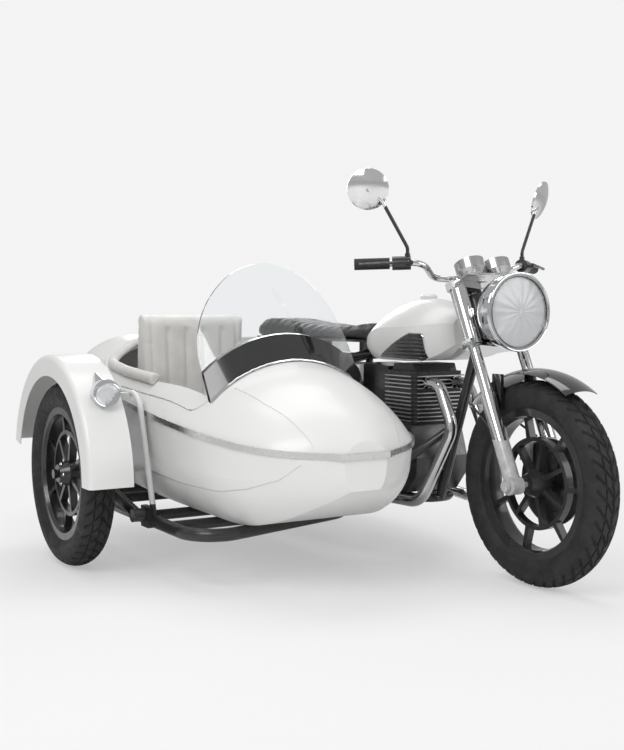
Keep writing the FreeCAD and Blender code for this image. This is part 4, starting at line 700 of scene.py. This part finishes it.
def ring_points(centre, axis, radius, count, start=0.0):
    """Points evenly round a circle about an axis."""
    axis = Vector(axis).normalized()
    side = axis.cross(Vector((0, 0, 1)) if abs(axis.z) < 0.9 else Vector((1, 0, 0))).normalized()
    up = axis.cross(side)
    return [Vector(centre) + (side * math.cos(a) + up * math.sin(a)) * radius
            for a in (start + 2 * math.pi * k / count for k in range(count))]


BOLT_POINTS, FLAT_SHARE = 48, 0.866


def bolts(name, places, axis, size, material, body):
    """Hexagon heads with a domed top and a washer, all in one mesh."""
    axis = Vector(axis).normalized()
    points, faces = [], []
    # height, share of the size, whether the ring is a hexagon
    steps = [(-0.002, 1.35, False), (0.0012, 1.35, False), (0.0012, 1.0, True), (size * 0.75, 1.0, True),
             (size * 0.9, 0.82, True), (size * 0.9, 0.55, False), (size * 0.78, 0.45, False)]
    for centre in places:
        base = len(points)
        for height, share, hexagon in steps:
            middle = Vector(centre) + axis * height
            ring = ring_points(middle, axis, size * share, BOLT_POINTS)
            if hexagon:
                turns = [math.radians(k * 360 / BOLT_POINTS % 60 - 30) for k in range(BOLT_POINTS)]
                ring = [middle + (p - middle) * (FLAT_SHARE / max(FLAT_SHARE, math.cos(turn)))
                        for p, turn in zip(ring, turns)]
            points += ring
        faces += skin(len(steps), BOLT_POINTS, base)
    mesh = bpy.data.meshes.new(name)
    mesh.from_pydata([tuple(p) for p in points], [], faces)
    return piece(name, smooth(outward(mesh), 30), material, body)


def on_surface(node, places, direction, reach=1.0):
    """Where a ray that goes along a direction first meets a CAD piece."""
    shell = surface(node)
    direction = Vector(direction).normalized()
    found = [shell.ray_cast(Vector(p) - direction * reach, direction, reach * 2)[0] for p in places]
    return [p for p in found if p is not None]


# bolts round the engine's side covers
low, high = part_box("engine_covers")
for side, tag in ((1, "left"), (-1, "right")):
    edge = high.y if side > 0 else low.y
    ring = ring_points((0, 0, 0), (0, 1, 0), 1.0, 14)
    middle, size = (low + high) / 2, high - low
    places = [Vector((middle.x + p.x * size.x * 0.44, edge, middle.z + p.z * size.z * 0.42)) for p in ring]
    hits = on_surface("engine_covers", places, (0, -side, 0), 0.03)
    if hits:
        bolts(f"{tag}_cover_bolts", hits, (0, side, 0), 0.0042, CHROME, "outfit")

# wheel nuts on the sidecar's hub
low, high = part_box("sidecar_wheel")
middle = (low + high) / 2
NUT_CIRCLE = 0.034
places = ring_points((middle.x, low.y, middle.z), (0, 1, 0), NUT_CIRCLE, 5)
hub = on_surface("sidecar_wheel", places, (0, 1, 0), 0.1)
if hub:
    bolts("sidecar_wheel_nuts", hub, (0, -1, 0), 0.006, CHROME, "sidecar_wheel_assembly")

# the marker lamp's lens and rim
low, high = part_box("mudguard_lamp")
front = on_surface("mudguard_lamp", [(high.x, (low.y + high.y) / 2, low.z + 0.034)], (-1, 0, 0), 0.3)
shell = surface("mudguard_lamp")
seat = []
for a in range(36):
    ray = Vector((0, math.cos(a * math.pi / 18), math.sin(a * math.pi / 18)))
    for reach in np.arange(0.045, 0.0, -0.0005):
        hit = shell.ray_cast(front[0] + Vector((0.05, 0, 0)) + ray * reach, Vector((-1, 0, 0)), 0.06)[0]
        if hit is not None:
            seat.append(hit)
            break
middle = sum(seat, Vector()) / len(seat)
rim = [middle + (p - middle) * 0.97 + Vector((0.0006, 0, 0)) for p in seat]
bead("marker_rim", rim, 0.0028, CHROME, "outfit", loop=True, sides=8)
# the lens's dome: share of the rim, height
DOME = ((0.9, 0.0003), (0.9, 0.002), (0.78, 0.005), (0.55, 0.0075), (0.3, 0.009), (0.06, 0.0095))
rings = [[middle + (p - middle) * share + Vector((lift, 0, 0)) for p in seat] for share, lift in DOME]
closed("marker_lens", rings, LENS, "outfit", 60)

# the headlamp's rolled rim, and the dark ring round its lens
low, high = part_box("headlamp")
lens_low, lens_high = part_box("headlamp_lens")
middle = Vector((high.x - 0.001, (lens_low.y + lens_high.y) / 2, (low.z + high.z) / 2))
rim_rad = (high.z - low.z) / 2 - 0.003
bead("headlamp_rim", ring_points(middle, (1, 0, 0), rim_rad, 72), 0.0035, CHROME, "fork_assembly",
     loop=True, sides=10)
bead("headlamp_inner_rim", ring_points(middle, (1, 0, 0), rim_rad - 0.010, 72), 0.0022, GLOSS,
     "fork_assembly", loop=True, sides=8)

DIAL_LEAN, DIAL_RAD, DIAL_BEVEL = math.radians(25), 0.0445, 0.043


def dial(side, tag):
    """A dark dial with pale marks and a needle, lying in the gauge's cup."""
    up, across = Vector((-math.sin(DIAL_LEAN), 0, math.cos(DIAL_LEAN))), Vector((0, 1, 0))
    ahead = across.cross(up)
    seat = on_surface("instruments", [rig(1201, side * 55, 1040)], -up, 0.08)[0]
    face = [[seat + up * lift + (across * math.cos(a) + ahead * math.sin(a)) * reach
             for a in (math.pi * k / 24 for k in range(48))]
            for reach, lift in ((DIAL_RAD, 0.0004), (DIAL_RAD, 0.0014), (DIAL_BEVEL, 0.0018))]
    closed(f"{tag}_dial", face, GLOSS, "fork_assembly", 40)
    points, faces = [], []
    # turn, inner end, outer end, half width: the marks, every other one longer, and the needle
    marks = [(math.radians(a), 0.034 if k % 2 else 0.031, 0.040, 0.0007)
             for k, a in enumerate(range(-30, 211, 12))]
    marks.append((math.radians(200 if side > 0 else 170), -0.008, 0.030, 0.0011))
    for turn, near, far, half in marks:
        out = across * math.cos(turn) - ahead * math.sin(turn)
        wide = up.cross(out)
        base = len(points)
        points += [seat + up * lift + out * reach + wide * half * edge
                   for lift in (0.0016, 0.0026)
                   for reach, edge in ((near, -1), (far, -1), (far, 1), (near, 1))]
        faces += [tuple(base + i for i in face) for face in (
            (3, 2, 1, 0), (4, 5, 6, 7), (0, 1, 5, 4), (1, 2, 6, 5), (2, 3, 7, 6), (3, 0, 4, 7))]
    mesh = bpy.data.meshes.new(f"{tag}_dial_marks")
    mesh.from_pydata([tuple(p) for p in points], [], faces)
    piece(f"{tag}_dial_marks", mesh, WHITE, "fork_assembly")


for side, tag in ((1, "left"), (-1, "right")):
    dial(side, tag)


def rim_line(side):
    """The line pressed into the deck outside the cockpit's edge, turning in ahead of the opening."""
    low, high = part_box("sidecar_deck")
    run = [(x, 0.330) for x in np.arange(0.33, 0.90, 0.03)]
    run += [(0.925, 0.328), (0.950, 0.320), (0.968, 0.306), (0.980, 0.290)]
    places = [Vector((RIG_X + x, MID_Y + side * y, high.z)) for x, y in run]
    return [p + Vector((0, 0, 0.0004)) for p in on_surface("sidecar_deck", places, (0, 0, -1), 0.4)]


for side, tag in ((1, "left"), (-1, "right")):
    bead(f"{tag}_rim_line", rim_line(side), 0.0022, BELT, "outfit", sides=8)

bead("screen_bead", lowest_line("screen_trim", 61, 0.001), 0.0035, CHROME, "outfit")


# Floor and light -----------------------------------------------------------------------
floor_mesh = bpy.data.meshes.new("floor")
REACH = 30
floor_mesh.from_pydata([(-REACH, -REACH, 0), (REACH, -REACH, 0), (REACH, REACH, 0), (-REACH, REACH, 0)],
                       [], [(0, 1, 2, 3)])
floor = bpy.data.objects.new("floor", floor_mesh)
scene.collection.objects.link(floor)
PAGE, ROOM = 0.90, 0.5
f = Finish("studio_floor", Roughness=0.9, Specular_IOR_Level=0.1)
f.colour(f.noise(0.8, 2), (0.3, 0.86), (0.7, 0.88))
# seen straight on, the floor fades into the backdrop a little way from the outfit
far = f.node("ShaderNodeVectorMath", operation="LENGTH")
f.link(f.position, far.inputs[0])
fade = f.spread(far.outputs["Value"], 0.45, 1.0, 1.3, 3.0, interpolation_type="SMOOTHSTEP")
amount = f.calc("MULTIPLY", fade, f.node("ShaderNodeLightPath").outputs["Is Camera Ray"])
glow = f.node("ShaderNodeEmission")
glow.inputs["Color"].default_value = (PAGE, PAGE, PAGE, 1)
blend = f.node("ShaderNodeMixShader")
f.link(amount, blend.inputs[0])
f.link(f.shader.outputs[0], blend.inputs[1])
f.link(glow.outputs[0], blend.inputs[2])
f.link(blend.outputs[0], f.tree.nodes["Material Output"].inputs["Surface"])
paint(floor, f.material)

world = bpy.data.worlds.new("studio")
scene.world = world
world.use_nodes = True
tree = world.node_tree
background = tree.nodes["Background"]
background.inputs["Color"].default_value = (1, 1, 1, 1)
scene.view_settings.view_transform = "Standard"
path = tree.nodes.new("ShaderNodeLightPath")
either = tree.nodes.new("ShaderNodeMath")
either.operation = "MAXIMUM"
tree.links.new(path.outputs["Is Camera Ray"], either.inputs[0])
tree.links.new(path.outputs["Is Transmission Ray"], either.inputs[1])
strength = tree.nodes.new("ShaderNodeMapRange")
strength.inputs["To Min"].default_value = ROOM
strength.inputs["To Max"].default_value = PAGE
tree.links.new(either.outputs[0], strength.inputs["Value"])
tree.links.new(strength.outputs["Result"], background.inputs["Strength"])


def lamp(name, where, aim, size, power):
    data = bpy.data.lights.new(name, "AREA")
    data.shape = "RECTANGLE"
    data.size, data.size_y = size
    data.energy = power
    obj = bpy.data.objects.new(name, data)
    scene.collection.objects.link(obj)
    obj.location = where
    obj.rotation_euler = (Vector(aim) - Vector(where)).to_track_quat("-Z", "Y").to_euler()


lamp("key", (2.6, -3.4, 3.6), (0, 0, 0.4), (2.4, 2.4), 96)
lamp("fill", (3.8, 2.4, 2.2), (0.3, 0, 0.5), (3.0, 2.0), 46)
lamp("top", (-0.5, 0, 4.2), (0, 0, 0.4), (3.6, 2.0), 52)
lamp("rim", (-3.6, 1.6, 2.4), (0, 0, 0.6), (2.0, 2.0), 50)
